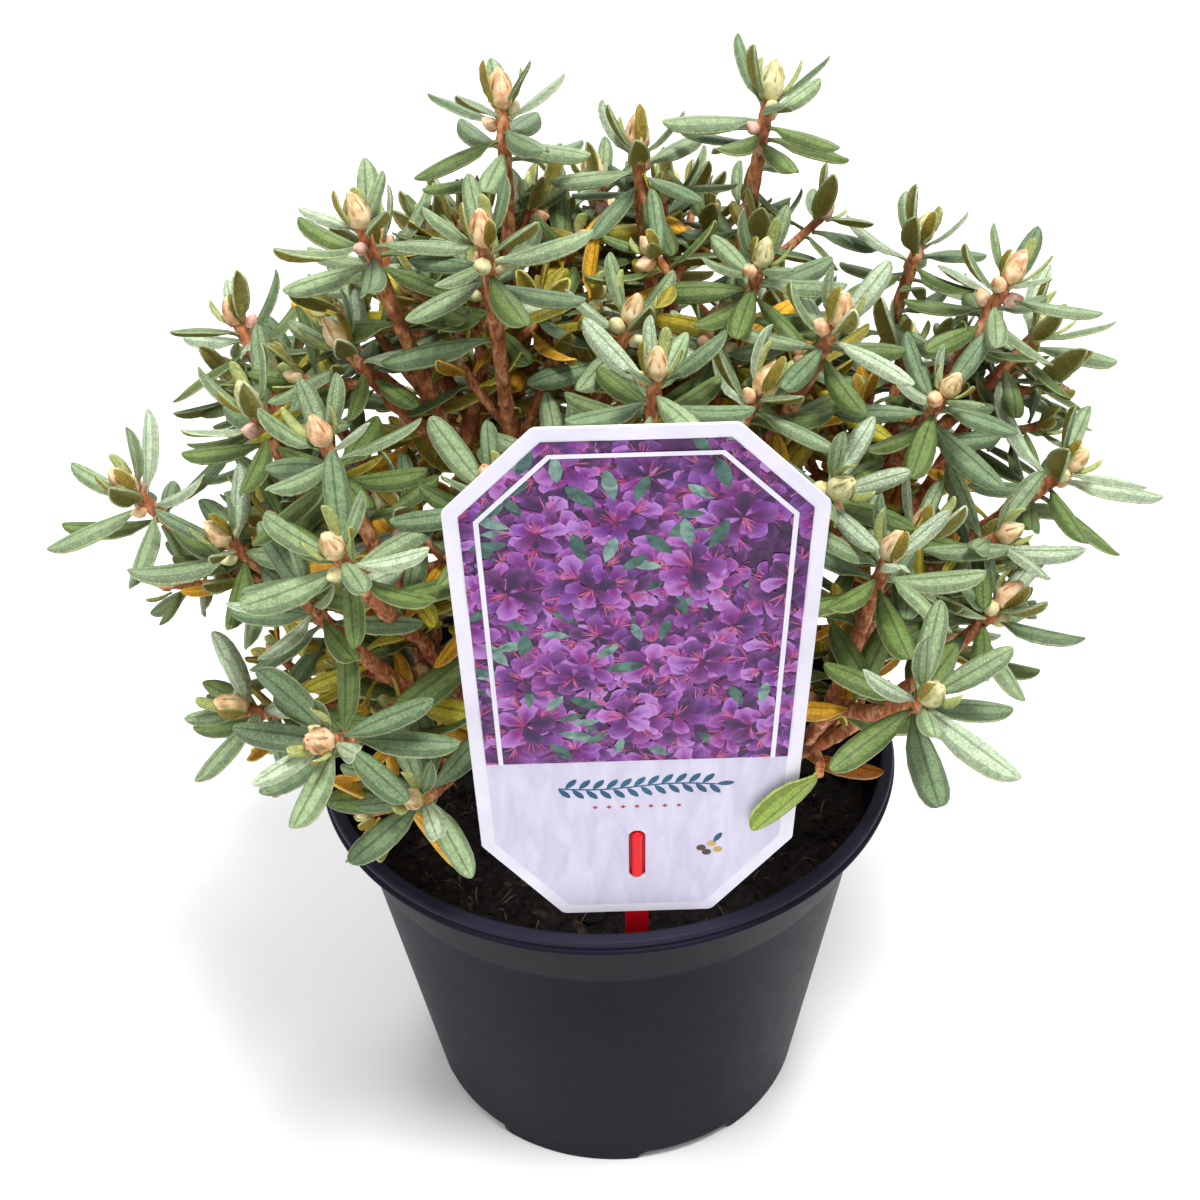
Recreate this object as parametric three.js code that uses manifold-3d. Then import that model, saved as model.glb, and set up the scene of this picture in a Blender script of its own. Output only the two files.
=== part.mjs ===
// A young rhododendron in its nursery pot: millimetres, +Z up.
// The origin is the centre of the pot's flat underside. -Y is the front, where the label stands.

import * as THREE from "three";
import { mergeVertices } from "three/addons/utils/BufferGeometryUtils.js";
import Module from "manifold-3d";

const wasm = await Module();
wasm.setup();

// ---------------------------------------------------------------- driving dimensions

const CLEARANCE = 0.3;              // gap kept between neighbouring solids
const SAME_POINT = 0.001;           // points closer than this count as one
const CUT_BEYOND = 1;               // a cutting shape reaches this far past what it cuts

// pot: an injection-moulded nursery pot
const POT_RIM_RADIUS = 85;
const POT_HEIGHT = 122.3;
const POT_LIP_HEIGHT = 5;
const POT_LIP_SLOPE = 0.8;          // rise of the lip's underside towards its outer edge
const POT_LIP_ROUNDING = 1;         // of its upper edge
const POT_LIP_WIDTH = 3.4;          // from the lip's outer edge to the inner end of its crest
const POT_COLLAR_TOP_RADIUS = 83;
const POT_COLLAR_FOOT_RADIUS = 77;
const POT_SHOULDER_RADIUS = 75.3;
const POT_SHOULDER_HEIGHT = 98.9;
const POT_COLLAR_FOOT_HEIGHT = 100.5;
const POT_BASE_RADIUS = 59.2;
const POT_WALL = 1.8;
const POT_FLOOR = 2.2;
const POT_SEGMENTS = 32;
const DRAIN_COUNT = 5;
const DRAIN_FIRST_AZIMUTH = -70;    // degrees from +X
const DRAIN_RECESS_HEIGHT = 3.5;
const DRAIN_RECESS_WIDTH = 29;
const DRAIN_RECESS_INNER_RADIUS = 42;
const DRAIN_HOLE_RADIUS = 4;
const DRAIN_HOLE_DEPTH = 12;
const DRAIN_HOLE_SIDES = 8;
const DRAIN_HOLE_PLACE = 49;        // distance of a hole from the pot's axis

// soil
const SOIL_LEVEL = 107;

// plant label: a card with cut corners, held on a flat stick
const CARD_WIDTH = 80;
const CARD_LENGTH = 160;
const CARD_END_WIDTH = 39;          // width left between the cut corners
const CARD_TOP_CUT = 21;            // length that the upper corners take off
const CARD_FOOT_CUT = 29;
const CARD_THICKNESS = 1.0;
const CARD_LEAN = 9;                // degrees, forward
const CARD_TURN = -1;               // degrees, in its own plane
const CARD_FOOT = [7, -72, 107];    // where the stick's line meets the soil
const CARD_LIFT = 18;               // card's lower edge above the soil, along the stick
const SLOT_WIDTH = 4.2;
const SLOT_LENGTH = 19;
const SLOT_CENTRE = 24;             // above the card's lower edge
const TONGUE_PROUD = 0.8;           // of the card's face
const STICK_WIDTH = 6.2;
const STICK_THICKNESS = 1.6;
const STICK_BURIED = 16;
const STICK_TOP = 54;               // above the soil, behind the card

// plant
const TRUNK_RADIUS = 7;
const TRUNK_FLARE_RADIUS = 11;
const TRUNK_FLARE_SHARE = 0.3;      // of the trunk's length
const TRUNK_TAPER = 0.15;           // share of its radius lost by the top
const TRUNK_TOP = 131;
const TRUNK_SIDES = 10;
const TRUNK_STEPS = 6;
const TRUNK_LEAN = [3, 2];          // sideways drift of the trunk's top
const BOUGH_START_RADIUS = 4.6;
const BOUGH_TIP_RADIUS = 4.1;
const BOUGH_SAG = 0.12;             // of its middle, as a share of its length
const BOUGH_SIDES = 6;
const BOUGH_STEPS = 4;
const STEM_START_RADIUS = 1.9;
const STEM_TIP_RADIUS = 1.7;
const STEM_SPREAD = 2.4;            // distance of a stem's foot from its bough's axis
const LEADER_PULL = 0.28;           // share of its length that a leader follows its bough's line
const LEADER_SAG_PLACE = 0.72;      // where a leader sags most, as a share of its length
const LEADER_SAG = 0.10;            // and by which share of its length
const LEADER_STEPS = 5;             // straight lengths that a leader's stem is made of
const SIDE_STEPS = 3;
const STEM_SIDES = 3;
const SIDE_FORK = [0.34, 0.6];      // where a side shoot may fork, as a share of its leader
const SIDE_SPREAD = [16, 38];       // how far a side shoot's tip stands from its leader's line
const SIDE_DROP = [6, 34];          // and how far below its leader's tip
const SIDE_BEND = 0.22;             // share of its spread by which a side shoot's middle stands out
const LEAF_LENGTH = 28;
const LEAF_WIDTH = 8.6;
const LEAF_THICKNESS = 1.6;
const LEAF_WIDEST = 0.56;           // where a leaf is widest, as a share of its length
const LEAF_ROOT_SUNK = 0.3;         // a leaf starts this far behind its stem's axis
const LEAF_ROOM = 1;                // added to a leaf's sizes where its room is tested
const LEAF_SWAY = 50;               // degrees by which a whole shoot's leaves may be turned
const LEAF_LOWEST = 0.25;           // no leaf stands lower than this share of its shoot
const OUTWARD_LEAF = 2;             // number of the leaf that points outwards
const ROSETTE_LEAVES = 5;           // round the bud at the end of each shoot
const LEADER_LOWER_LEAVES = 3;      // further down a leading shoot
const SIDE_LOWER_LEAVES = 2;

// Distance of a leaf from its shoot's tip, its lean from the shoot's axis in degrees, and its
// length as a share of the full one: for the first leaf, what each further leaf adds, and by how
// much chance changes it. Upper leaves make the rosette, lower ones stand along the stem.
const UPPER_BELOW = { first: 2, step: 0.9, chance: 0 };
const UPPER_LEAN = { first: 46, step: 8, chance: 8 };
const UPPER_SIZE = { first: 0.78, step: 0.09, chance: 0 };
const LOWER_BELOW = { first: 12, step: 8, chance: 3 };
const LOWER_LEAN = { first: 82, step: 0, chance: 12 };
const LOWER_SIZE = { first: 1, step: 0, chance: 0.1 };

const BUD_LENGTH = 12;
const BUD_WIDTH = 7;
const BUD_SUNK = 0.2;               // share of a bud's length that is sunk in its shoot
const BUD_SEAT = 5;                 // from a bud's middle down to its shoot's tip
const GOLDEN_ANGLE = 137.5;

// Boughs: azimuth in degrees from +X, reach of the tip from the pot's axis, height of the tip,
// and height on the trunk where the bough leaves it.
const BOUGHS = {
  top_left:    { azimuth: 190, reach: 15, height: 168, foot: 127 },
  top_right:   { azimuth:  25, reach: 19, height: 164, foot: 127 },
  front:       { azimuth: 266, reach: 26, height: 154, foot: 124 },
  right_front: { azimuth: 322, reach: 54, height: 137, foot: 115 },
  right:       { azimuth: 358, reach: 38, height: 152, foot: 121 },
  back_right:  { azimuth:  52, reach: 38, height: 148, foot: 118 },
  back_left:   { azimuth: 126, reach: 38, height: 147, foot: 118 },
  left:        { azimuth: 192, reach: 42, height: 145, foot: 117 },
  left_front:  { azimuth: 228, reach: 43, height: 149, foot: 120 },
};

// Masses of foliage: the bough each grows on, where its leading bud stands, how many shoots
// it has, the roll of its first side shoot round the leader, and the seed of its side shoots'
// sizes. A roll of 0 points anticlockwise seen from above, 90 up and inwards.
const MASSES = {
  top_back_left: { on: "top_left",    azimuth: 136, reach:  29, height: 312, shoots: 2, roll:   0, seed:  1 },
  top_left:      { on: "top_left",    azimuth: 200, reach:  58, height: 298, shoots: 3, roll: 100, seed: 13 },
  top_front:     { on: "top_left",    azimuth: 231, reach:  39, height: 297, shoots: 2, roll:  30, seed:  1 },
  top_back:      { on: "top_right",   azimuth:  67, reach:  33, height: 296, shoots: 2, roll: 220, seed: 33 },
  top_right:     { on: "top_right",   azimuth:  28, reach:  53, height: 310, shoots: 2, roll: 150, seed:  9 },
  right_high:    { on: "top_right",   azimuth: 333, reach:  66, height: 273, shoots: 3, roll: 100, seed: 39 },
  front_high:    { on: "front",       azimuth: 286, reach:  52, height: 272, shoots: 3, roll: 330, seed:  8 },
  front_left:    { on: "front",       azimuth: 250, reach:  74, height: 255, shoots: 3, roll:  40, seed: 16 },
  right_front:   { on: "right_front", azimuth: 314, reach:  97, height: 233, shoots: 3, roll: 250, seed:  6 },
  right_low:     { on: "right_front", azimuth: 334, reach: 114, height: 204, shoots: 2, roll:   0, seed:  1 },
  right_outer:   { on: "right",       azimuth: 351, reach: 126, height: 224, shoots: 3, roll:  30, seed:  6 },
  right:         { on: "right",       azimuth:   0, reach: 107, height: 269, shoots: 3, roll:  20, seed: 41 },
  right_back:    { on: "right",       azimuth:  19, reach:  95, height: 268, shoots: 2, roll:   0, seed:  1 },
  back_outer:    { on: "back_right",  azimuth:  30, reach: 124, height: 204, shoots: 3, roll: 210, seed:  1 },
  back_right:    { on: "back_right",  azimuth:  58, reach: 112, height: 222, shoots: 3, roll:  20, seed: 13 },
  back:          { on: "back_right",  azimuth:  86, reach: 100, height: 240, shoots: 3, roll: 290, seed: 16 },
  back_left:     { on: "back_left",   azimuth: 120, reach: 108, height: 228, shoots: 3, roll: 110, seed:  1 },
  left_back:     { on: "back_left",   azimuth: 152, reach: 120, height: 203, shoots: 3, roll: 240, seed: 39 },
  left_high:     { on: "left",        azimuth: 193, reach:  89, height: 251, shoots: 3, roll: 170, seed: 30 },
  left_outer:    { on: "left",        azimuth: 189, reach: 124, height: 227, shoots: 2, roll: 100, seed: 21 },
  left_low:      { on: "left",        azimuth: 207, reach: 110, height: 176, shoots: 2, roll:  40, seed:  1 },
  left_inner:    { on: "left_front",  azimuth: 218, reach:  82, height: 258, shoots: 2, roll: 350, seed:  6 },
  left_front:    { on: "left_front",  azimuth: 224, reach: 100, height: 226, shoots: 2, roll: 320, seed:  6 },
  front_low:     { on: "left_front",  azimuth: 240, reach:  98, height: 172, shoots: 2, roll:  30, seed:  1 },
};

// ---------------------------------------------------------------- materials

function finish(color, roughness, metalness = 0) {
  return new THREE.MeshStandardMaterial({ color, roughness, metalness });
}

const FINISHES = {
  pot: () => finish(0x2b2c33, 0.45),
  soil: () => finish(0x1f1a17, 0.95),
  card: () => finish(0xe9e4ee, 0.5),
  stick: () => finish(0xc4161c, 0.4),
  bark: () => finish(0x8a5138, 0.85),
  leaf: () => finish(0x6f8f72, 0.6),
};

// ---------------------------------------------------------------- solids

function solidOf(geometry) {
  const bare = geometry.clone();
  bare.deleteAttribute("normal");
  bare.deleteAttribute("uv");
  const merged = mergeVertices(bare, 1e-4);
  return new wasm.Manifold(new wasm.Mesh({
    numProp: 3,
    vertProperties: new Float32Array(merged.attributes.position.array),
    triVerts: new Uint32Array(merged.index.array),
  }));
}

function geometryOf(solid) {
  const mesh = solid.getMesh();
  const geometry = new THREE.BufferGeometry();
  geometry.setAttribute("position", new THREE.BufferAttribute(mesh.vertProperties, 3));
  geometry.setIndex(new THREE.BufferAttribute(mesh.triVerts, 1));
  geometry.computeVertexNormals();
  return geometry;
}

// True where every edge still has exactly two faces once points that lie together are one.
function isSound(solid) {
  const { vertProperties, triVerts } = solid.getMesh();
  const spotOf = (corner) => [0, 1, 2]
    .map((axis) => Math.round(vertProperties[3 * corner + axis] / SAME_POINT)).join();
  const edges = new Map();
  for (let i = 0; i < triVerts.length; i += 3) {
    const corners = [0, 1, 2].map((side) => spotOf(triVerts[i + side]));
    if (new Set(corners).size < 3) continue;
    corners.forEach((from, side) => {
      const edge = `${from} ${corners[(side + 1) % 3]}`;
      edges.set(edge, (edges.get(edge) ?? 0) + 1);
    });
  }
  return [...edges].every(([edge, count]) => {
    const [from, to] = edge.split(" ");
    return count === 1 && edges.get(`${to} ${from}`) === 1;
  });
}

// The main body alone: loose scraps are dropped, and sealed hollows become solid.
function mainBody(solid) {
  const bodies = solid.decompose();
  return bodies.reduce((best, body) => (body.volume() > best.volume() ? body : best));
}

function place(geometry, matrix) {
  return geometry.clone().applyMatrix4(matrix);
}

function polar(azimuth, reach, height) {
  const angle = THREE.MathUtils.degToRad(azimuth);
  return new THREE.Vector3(reach * Math.cos(angle), reach * Math.sin(angle), height);
}

// A number from 0 to 1 that is always the same for the same pair.
function chance(index, salt) {
  const value = Math.sin(index * 12.9898 + salt * 78.233) * 43758.5453;
  return value - Math.floor(value);
}

// A tapering limb: a cylinder bent along a curve, with its radius given along the way.
function limb(curve, radiusAt, sides, steps, swell = 0) {
  const geometry = new THREE.CylinderGeometry(1, 1, 1, sides, steps);
  const frames = curve.computeFrenetFrames(steps);
  const position = geometry.attributes.position;
  const point = new THREE.Vector3();
  for (let i = 0; i < position.count; i += 1) {
    const step = Math.round((position.getY(i) + 0.5) * steps);
    const radius = radiusAt(step / steps) + swell;
    const across = position.getX(i) * radius;
    const aside = position.getZ(i) * radius;
    curve.getPoint(step / steps, point);
    if (step === 0) point.addScaledVector(frames.tangents[0], -swell);
    if (step === steps) point.addScaledVector(frames.tangents[steps], swell);
    point.addScaledVector(frames.normals[step], across);
    point.addScaledVector(frames.binormals[step], -aside);
    position.setXYZ(i, point.x, point.y, point.z);
  }
  return solidOf(geometry);
}

// ---------------------------------------------------------------- pot and soil

function lathe(profile, segments) {
  const points = profile.map(([radius, height]) => new THREE.Vector2(radius, height));
  return new THREE.LatheGeometry(points, segments).rotateX(Math.PI / 2);
}

function wallRadius(height) {
  return POT_BASE_RADIUS + (POT_SHOULDER_RADIUS - POT_BASE_RADIUS) * height / POT_SHOULDER_HEIGHT;
}

function drainBox(inner, outer, width, low, high, azimuth) {
  const box = new THREE.BoxGeometry(outer - inner, width, high - low);
  box.translate((outer + inner) / 2, 0, (high + low) / 2);
  return solidOf(box.rotateZ(THREE.MathUtils.degToRad(azimuth)));
}

function drainAzimuths() {
  return Array.from({ length: DRAIN_COUNT }, (_, i) => DRAIN_FIRST_AZIMUTH + i * 360 / DRAIN_COUNT);
}

// The pot's space inside its wall, from a height upwards, drawn in by a gap.
function potInside(low, gap) {
  return [
    [0, low],
    [wallRadius(low) - POT_WALL - gap, low],
    [POT_SHOULDER_RADIUS - POT_WALL - gap, POT_SHOULDER_HEIGHT],
    [POT_COLLAR_FOOT_RADIUS - POT_WALL - gap, POT_COLLAR_FOOT_HEIGHT],
  ];
}

function collarInnerRadius(height) {
  const top = POT_HEIGHT - POT_LIP_HEIGHT;
  const share = (height - POT_COLLAR_FOOT_HEIGHT) / (top - POT_COLLAR_FOOT_HEIGHT);
  const outer = THREE.MathUtils.lerp(POT_COLLAR_FOOT_RADIUS, POT_COLLAR_TOP_RADIUS, share);
  return outer - POT_WALL;
}

function makePot() {
  const lipFoot = POT_HEIGHT - POT_LIP_HEIGHT;
  const profile = [
    [0, 0],
    [POT_BASE_RADIUS, 0],
    [POT_SHOULDER_RADIUS, POT_SHOULDER_HEIGHT],
    [POT_COLLAR_FOOT_RADIUS, POT_COLLAR_FOOT_HEIGHT],
    [POT_COLLAR_TOP_RADIUS, lipFoot],
    [POT_RIM_RADIUS, lipFoot + POT_LIP_SLOPE],
    [POT_RIM_RADIUS, POT_HEIGHT - POT_LIP_ROUNDING],
    [POT_RIM_RADIUS - POT_LIP_ROUNDING, POT_HEIGHT],
    [POT_RIM_RADIUS - POT_LIP_WIDTH, POT_HEIGHT],
    [collarInnerRadius(lipFoot), lipFoot],
    ...potInside(POT_FLOOR, 0).reverse(),
  ];
  let pot = solidOf(lathe(profile, POT_SEGMENTS));
  const core = [
    [0, 0],
    [wallRadius(0) - POT_WALL / 2, 0],
    [wallRadius(SOIL_LEVEL) - POT_WALL / 2, SOIL_LEVEL],
    [0, SOIL_LEVEL],
  ];
  const withinWall = solidOf(lathe(core, POT_SEGMENTS));
  for (const azimuth of drainAzimuths()) {
    pot = pot.add(drainRise(azimuth, 0).intersect(withinWall));
  }
  for (const azimuth of drainAzimuths()) {
    pot = pot.subtract(drainBox(
      DRAIN_RECESS_INNER_RADIUS, POT_BASE_RADIUS + CUT_BEYOND, DRAIN_RECESS_WIDTH, -CUT_BEYOND,
      DRAIN_RECESS_HEIGHT, azimuth));
    const hole = new THREE.CylinderGeometry(
      DRAIN_HOLE_RADIUS, DRAIN_HOLE_RADIUS, DRAIN_HOLE_DEPTH, DRAIN_HOLE_SIDES);
    const spot = polar(azimuth, DRAIN_HOLE_PLACE, DRAIN_HOLE_DEPTH / 2 - CUT_BEYOND);
    pot = pot.subtract(solidOf(hole.rotateX(Math.PI / 2).translate(spot.x, spot.y, spot.z)));
  }
  return mainBody(pot);
}

// The floor steps up over each drain recess.
function drainRise(azimuth, gap) {
  const side = POT_FLOOR + gap;
  return drainBox(
    DRAIN_RECESS_INNER_RADIUS - side, POT_BASE_RADIUS + POT_WALL, DRAIN_RECESS_WIDTH + 2 * side,
    POT_FLOOR / 2, DRAIN_RECESS_HEIGHT + POT_FLOOR + gap, azimuth);
}

function makeSoil(stickHole) {
  const low = POT_FLOOR + CLEARANCE;
  const profile = [
    ...potInside(low, CLEARANCE),
    [collarInnerRadius(SOIL_LEVEL) - CLEARANCE, SOIL_LEVEL],
    [0, SOIL_LEVEL],
  ];
  let soil = solidOf(lathe(profile, POT_SEGMENTS));
  for (const azimuth of drainAzimuths()) {
    soil = soil.subtract(drainRise(azimuth, CLEARANCE));
  }
  return mainBody(soil.subtract(stickHole));
}

// ---------------------------------------------------------------- label

function cardOutline() {
  const half = CARD_WIDTH / 2;
  const end = CARD_END_WIDTH / 2;
  const shape = new THREE.Shape();
  shape.moveTo(-end, 0);
  shape.lineTo(end, 0);
  shape.lineTo(half, CARD_FOOT_CUT);
  shape.lineTo(half, CARD_LENGTH - CARD_TOP_CUT);
  shape.lineTo(end, CARD_LENGTH);
  shape.lineTo(-end, CARD_LENGTH);
  shape.lineTo(-half, CARD_LENGTH - CARD_TOP_CUT);
  shape.lineTo(-half, CARD_FOOT_CUT);
  shape.closePath();
  const slot = new THREE.Path();
  const left = -SLOT_WIDTH / 2;
  const low = SLOT_CENTRE - SLOT_LENGTH / 2;
  slot.moveTo(left, low);
  slot.lineTo(left, low + SLOT_LENGTH);
  slot.lineTo(left + SLOT_WIDTH, low + SLOT_LENGTH);
  slot.lineTo(left + SLOT_WIDTH, low);
  slot.closePath();
  shape.holes.push(slot);
  return shape;
}

// Shapes are drawn in the card's own frame: x across, y up the stick, z to the front.
function labelMatrix() {
  const stand = new THREE.Matrix4().makeRotationX(THREE.MathUtils.degToRad(90 + CARD_LEAN));
  const turn = new THREE.Matrix4().makeRotationZ(THREE.MathUtils.degToRad(CARD_TURN));
  return new THREE.Matrix4().makeTranslation(...CARD_FOOT).multiply(stand).multiply(turn);
}

function makeCard() {
  const geometry = new THREE.ExtrudeGeometry(
    cardOutline(), { depth: CARD_THICKNESS, bevelEnabled: false });
  return solidOf(place(geometry.translate(0, CARD_LIFT, 0), labelMatrix()));
}

function plate(width, low, high, back, front) {
  const box = new THREE.BoxGeometry(width, high - low, front - back);
  return solidOf(place(box.translate(0, (low + high) / 2, (back + front) / 2), labelMatrix()));
}

// A flat stick behind the card, with a tongue that comes forward through the card's slot.
function makeStick(gap = 0) {
  const back = -CLEARANCE - STICK_THICKNESS;
  const tongueCentre = CARD_LIFT + SLOT_CENTRE;
  const tongueHalf = SLOT_LENGTH / 2 - CLEARANCE;
  const shaft = plate(
    STICK_WIDTH + 2 * gap, -STICK_BURIED - gap, STICK_TOP, back - gap, -CLEARANCE + gap);
  const tongue = plate(
    SLOT_WIDTH - 2 * CLEARANCE, tongueCentre - tongueHalf, tongueCentre + tongueHalf,
    back + STICK_THICKNESS / 2, CARD_THICKNESS + TONGUE_PROUD);
  return shaft.add(tongue);
}

// ---------------------------------------------------------------- trunk and boughs

function trunkCurve() {
  return new THREE.QuadraticBezierCurve3(
    new THREE.Vector3(0, 0, SOIL_LEVEL + CLEARANCE),
    new THREE.Vector3(0, 0, (SOIL_LEVEL + TRUNK_TOP) / 2),
    new THREE.Vector3(TRUNK_LEAN[0], TRUNK_LEAN[1], TRUNK_TOP),
  );
}

function trunkRadius(share) {
  const above = 1 - Math.min(1, share / TRUNK_FLARE_SHARE);
  return TRUNK_RADIUS * (1 - TRUNK_TAPER * share) + (TRUNK_FLARE_RADIUS - TRUNK_RADIUS) * above ** 2;
}

function makeTrunk(swell = 0) {
  return limb(trunkCurve(), trunkRadius, TRUNK_SIDES, TRUNK_STEPS, swell);
}

// A bough leaves the trunk outwards and bends up towards its tip.
function boughCurve(bough) {
  const share = (bough.foot - SOIL_LEVEL) / (TRUNK_TOP - SOIL_LEVEL);
  const foot = trunkCurve().getPoint(Math.min(1, share));
  const tip = polar(bough.azimuth, bough.reach, bough.height);
  const bend = foot.clone().lerp(tip, 0.5);
  bend.z -= BOUGH_SAG * foot.distanceTo(tip);
  return new THREE.QuadraticBezierCurve3(foot, bend, tip);
}

function boughRadius(share) {
  return THREE.MathUtils.lerp(BOUGH_START_RADIUS, BOUGH_TIP_RADIUS, share);
}

function makeBough(bough, swell = 0) {
  return limb(boughCurve(bough), boughRadius, BOUGH_SIDES, BOUGH_STEPS, swell);
}

// ---------------------------------------------------------------- shoots

// The stems on one bough stand evenly round its end face, in the order in which they fan out.
function stemFeet(boughName) {
  const bough = boughCurve(BOUGHS[boughName]);
  const end = bough.getPoint(1);
  const across = new THREE.Vector3(0, 0, 1).cross(bough.getTangent(1)).normalize();
  const upward = bough.getTangent(1).cross(across);
  const stems = Object.entries(MASSES).filter(([, mass]) => mass.on === boughName);
  const fan = stems.map(([name, mass]) => {
    const away = polar(mass.azimuth, mass.reach, mass.height).sub(end);
    return { name, angle: Math.atan2(away.dot(upward), away.dot(across)) };
  });
  fan.sort((a, b) => a.angle - b.angle);
  const pitch = 2 * Math.PI / fan.length;
  const mean = new THREE.Vector2();
  fan.forEach(({ angle }, i) => {
    mean.x += Math.cos(angle - i * pitch);
    mean.y += Math.sin(angle - i * pitch);
  });
  return fan.map(({ name }, i) => {
    const angle = mean.angle() + i * pitch;
    const aside = across.clone().multiplyScalar(Math.cos(angle));
    return [name, aside.addScaledVector(upward, Math.sin(angle))];
  });
}

const STEM_FEET = new Map(Object.keys(BOUGHS).flatMap(stemFeet));

// The leader starts on its bough's end face, square to it, and ends under its bud.
function leaderCurve(name, mass) {
  const bough = boughCurve(BOUGHS[mass.on]);
  const end = bough.getPoint(1);
  const ahead = bough.getTangent(1);
  const bud = polar(mass.azimuth, mass.reach, mass.height);
  const tip = bud.clone().addScaledVector(bud.clone().sub(end).normalize(), -BUD_SEAT);
  const foot = end.clone().addScaledVector(ahead, CLEARANCE);
  foot.addScaledVector(STEM_FEET.get(name), STEM_SPREAD);
  const length = foot.distanceTo(tip);
  const first = foot.clone().addScaledVector(ahead, LEADER_PULL * length);
  const second = foot.clone().lerp(tip, LEADER_SAG_PLACE);
  second.z -= LEADER_SAG * length;
  return new THREE.CubicBezierCurve3(foot, first, second, tip);
}

// A side shoot forks from the leader and ends beside it, lower down.
function sideCurve(leader, mass, number) {
  const start = leader.getPoint(THREE.MathUtils.lerp(...SIDE_FORK, chance(mass.seed, 10 + number)));
  const tip = leader.getPoint(1);
  const axis = tip.clone().sub(start).normalize();
  const across = new THREE.Vector3(0, 0, 1).cross(axis).normalize();
  const upward = axis.clone().cross(across);
  const roll = THREE.MathUtils.degToRad(mass.roll + (number - 1) * GOLDEN_ANGLE);
  const spread = THREE.MathUtils.lerp(...SIDE_SPREAD, chance(mass.seed, 20 + number));
  const drop = THREE.MathUtils.lerp(...SIDE_DROP, chance(mass.seed, 30 + number));
  const end = tip.clone().addScaledVector(axis, -drop);
  end.addScaledVector(across, spread * Math.cos(roll));
  end.addScaledVector(upward, spread * Math.sin(roll));
  const bend = start.clone().lerp(end, 0.5);
  bend.addScaledVector(end.clone().sub(tip).projectOnPlane(axis), SIDE_BEND);
  return new THREE.QuadraticBezierCurve3(start, bend, end);
}

function stemRadius(share) {
  return THREE.MathUtils.lerp(STEM_START_RADIUS, STEM_TIP_RADIUS, share);
}

// ---------------------------------------------------------------- leaves and buds

// Eight faces: a point at each end, two edges and a ridge above and below.
function leafShape() {
  const shape = new THREE.OctahedronGeometry(1, 0);
  const position = shape.attributes.position;
  for (let i = 0; i < position.count; i += 1) {
    if (Math.abs(position.getX(i)) < 0.5) position.setX(i, 2 * LEAF_WIDEST - 1);
  }
  return shape;
}

const LEAF_SHAPE = leafShape();

function leafSolid(root, along, upward, length, width, thickness) {
  const across = upward.clone().cross(along);
  const matrix = new THREE.Matrix4().makeBasis(
    along.clone().multiplyScalar(length / 2),
    across.multiplyScalar(width / 2),
    upward.clone().multiplyScalar(thickness / 2),
  );
  matrix.setPosition(root.clone().addScaledVector(along, length / 2));
  return solidOf(place(LEAF_SHAPE, matrix));
}

function budSolid(curve, swell = 0) {
  const axis = curve.getTangent(1);
  const side = new THREE.Vector3(0, 0, 1).cross(axis).normalize();
  const root = curve.getPoint(1).addScaledVector(axis, -BUD_LENGTH * BUD_SUNK);
  const width = BUD_WIDTH + 2 * swell;
  return leafSolid(root, axis, side, BUD_LENGTH + 2 * swell, width, width);
}

function valueOf({ first, step, chance: share }, place, jitter) {
  return first + step * place + share * jitter;
}

// Where leaf number i of a shoot stands, how far it leans, and its length.
function leafHabit(i, seed) {
  const jitter = chance(seed, 40 + i) - 0.5;
  if (i < ROSETTE_LEAVES) {
    return {
      below: valueOf(UPPER_BELOW, i, jitter),
      lean: valueOf(UPPER_LEAN, i, jitter),
      length: LEAF_LENGTH * Math.min(1, valueOf(UPPER_SIZE, i, jitter)),
    };
  }
  const place = i - ROSETTE_LEAVES;
  return {
    below: valueOf(LOWER_BELOW, place, jitter),
    lean: valueOf(LOWER_LEAN, place, jitter),
    length: LEAF_LENGTH * valueOf(LOWER_SIZE, place, jitter),
  };
}

// Leaves turn round the shoot by the golden angle, so that one of the rosette points outwards.
function shootLeaves({ curve, seed, lowerLeaves }) {
  const length = curve.getLength();
  const outward = curve.getPoint(1).setZ(0).normalize();
  const leaves = [];
  for (let i = 0; i < ROSETTE_LEAVES + lowerLeaves; i += 1) {
    const habit = leafHabit(i, seed);
    const share = 1 - habit.below / length;
    if (share < LEAF_LOWEST) break;
    const root = curve.getPointAt(share);
    const axis = curve.getTangentAt(share);
    const sway = LEAF_SWAY * (chance(seed, 5) - 0.5);
    const turn = THREE.MathUtils.degToRad(GOLDEN_ANGLE * (i - OUTWARD_LEAF) + sway);
    const side = outward.clone().projectOnPlane(axis).normalize().applyAxisAngle(axis, turn);
    const lean = THREE.MathUtils.degToRad(habit.lean);
    const along = axis.clone().multiplyScalar(Math.cos(lean)).addScaledVector(side, Math.sin(lean));
    const upward = axis.clone().multiplyScalar(Math.sin(lean)).addScaledVector(side, -Math.cos(lean));
    root.addScaledVector(along, -LEAF_ROOT_SUNK);
    leaves.push({ root, along, upward, length: habit.length });
  }
  return leaves;
}

// ---------------------------------------------------------------- growing the crown

// What is already there. A twig or leaf is kept only if it stays clear of all that is not its own.
const taken = [];

function take(owner, solid) {
  taken.push({ owner, solid, box: solid.boundingBox() });
}

function boxesMeet(a, b) {
  return [0, 1, 2].every((axis) => a.min[axis] < b.max[axis] && b.min[axis] < a.max[axis]);
}

function isClear(owner, solid) {
  const box = solid.boundingBox();
  return taken.every((other) => other.owner === owner || !boxesMeet(box, other.box)
    || other.solid.intersect(solid).isEmpty());
}

function growLeader(name, mass, index) {
  const curve = leaderCurve(name, mass);
  const solid = limb(curve, stemRadius, STEM_SIDES, LEADER_STEPS).add(budSolid(curve));
  take(name, solid);
  return { curve, solid, lowerLeaves: LEADER_LOWER_LEAVES, seed: index * 10 };
}

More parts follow.
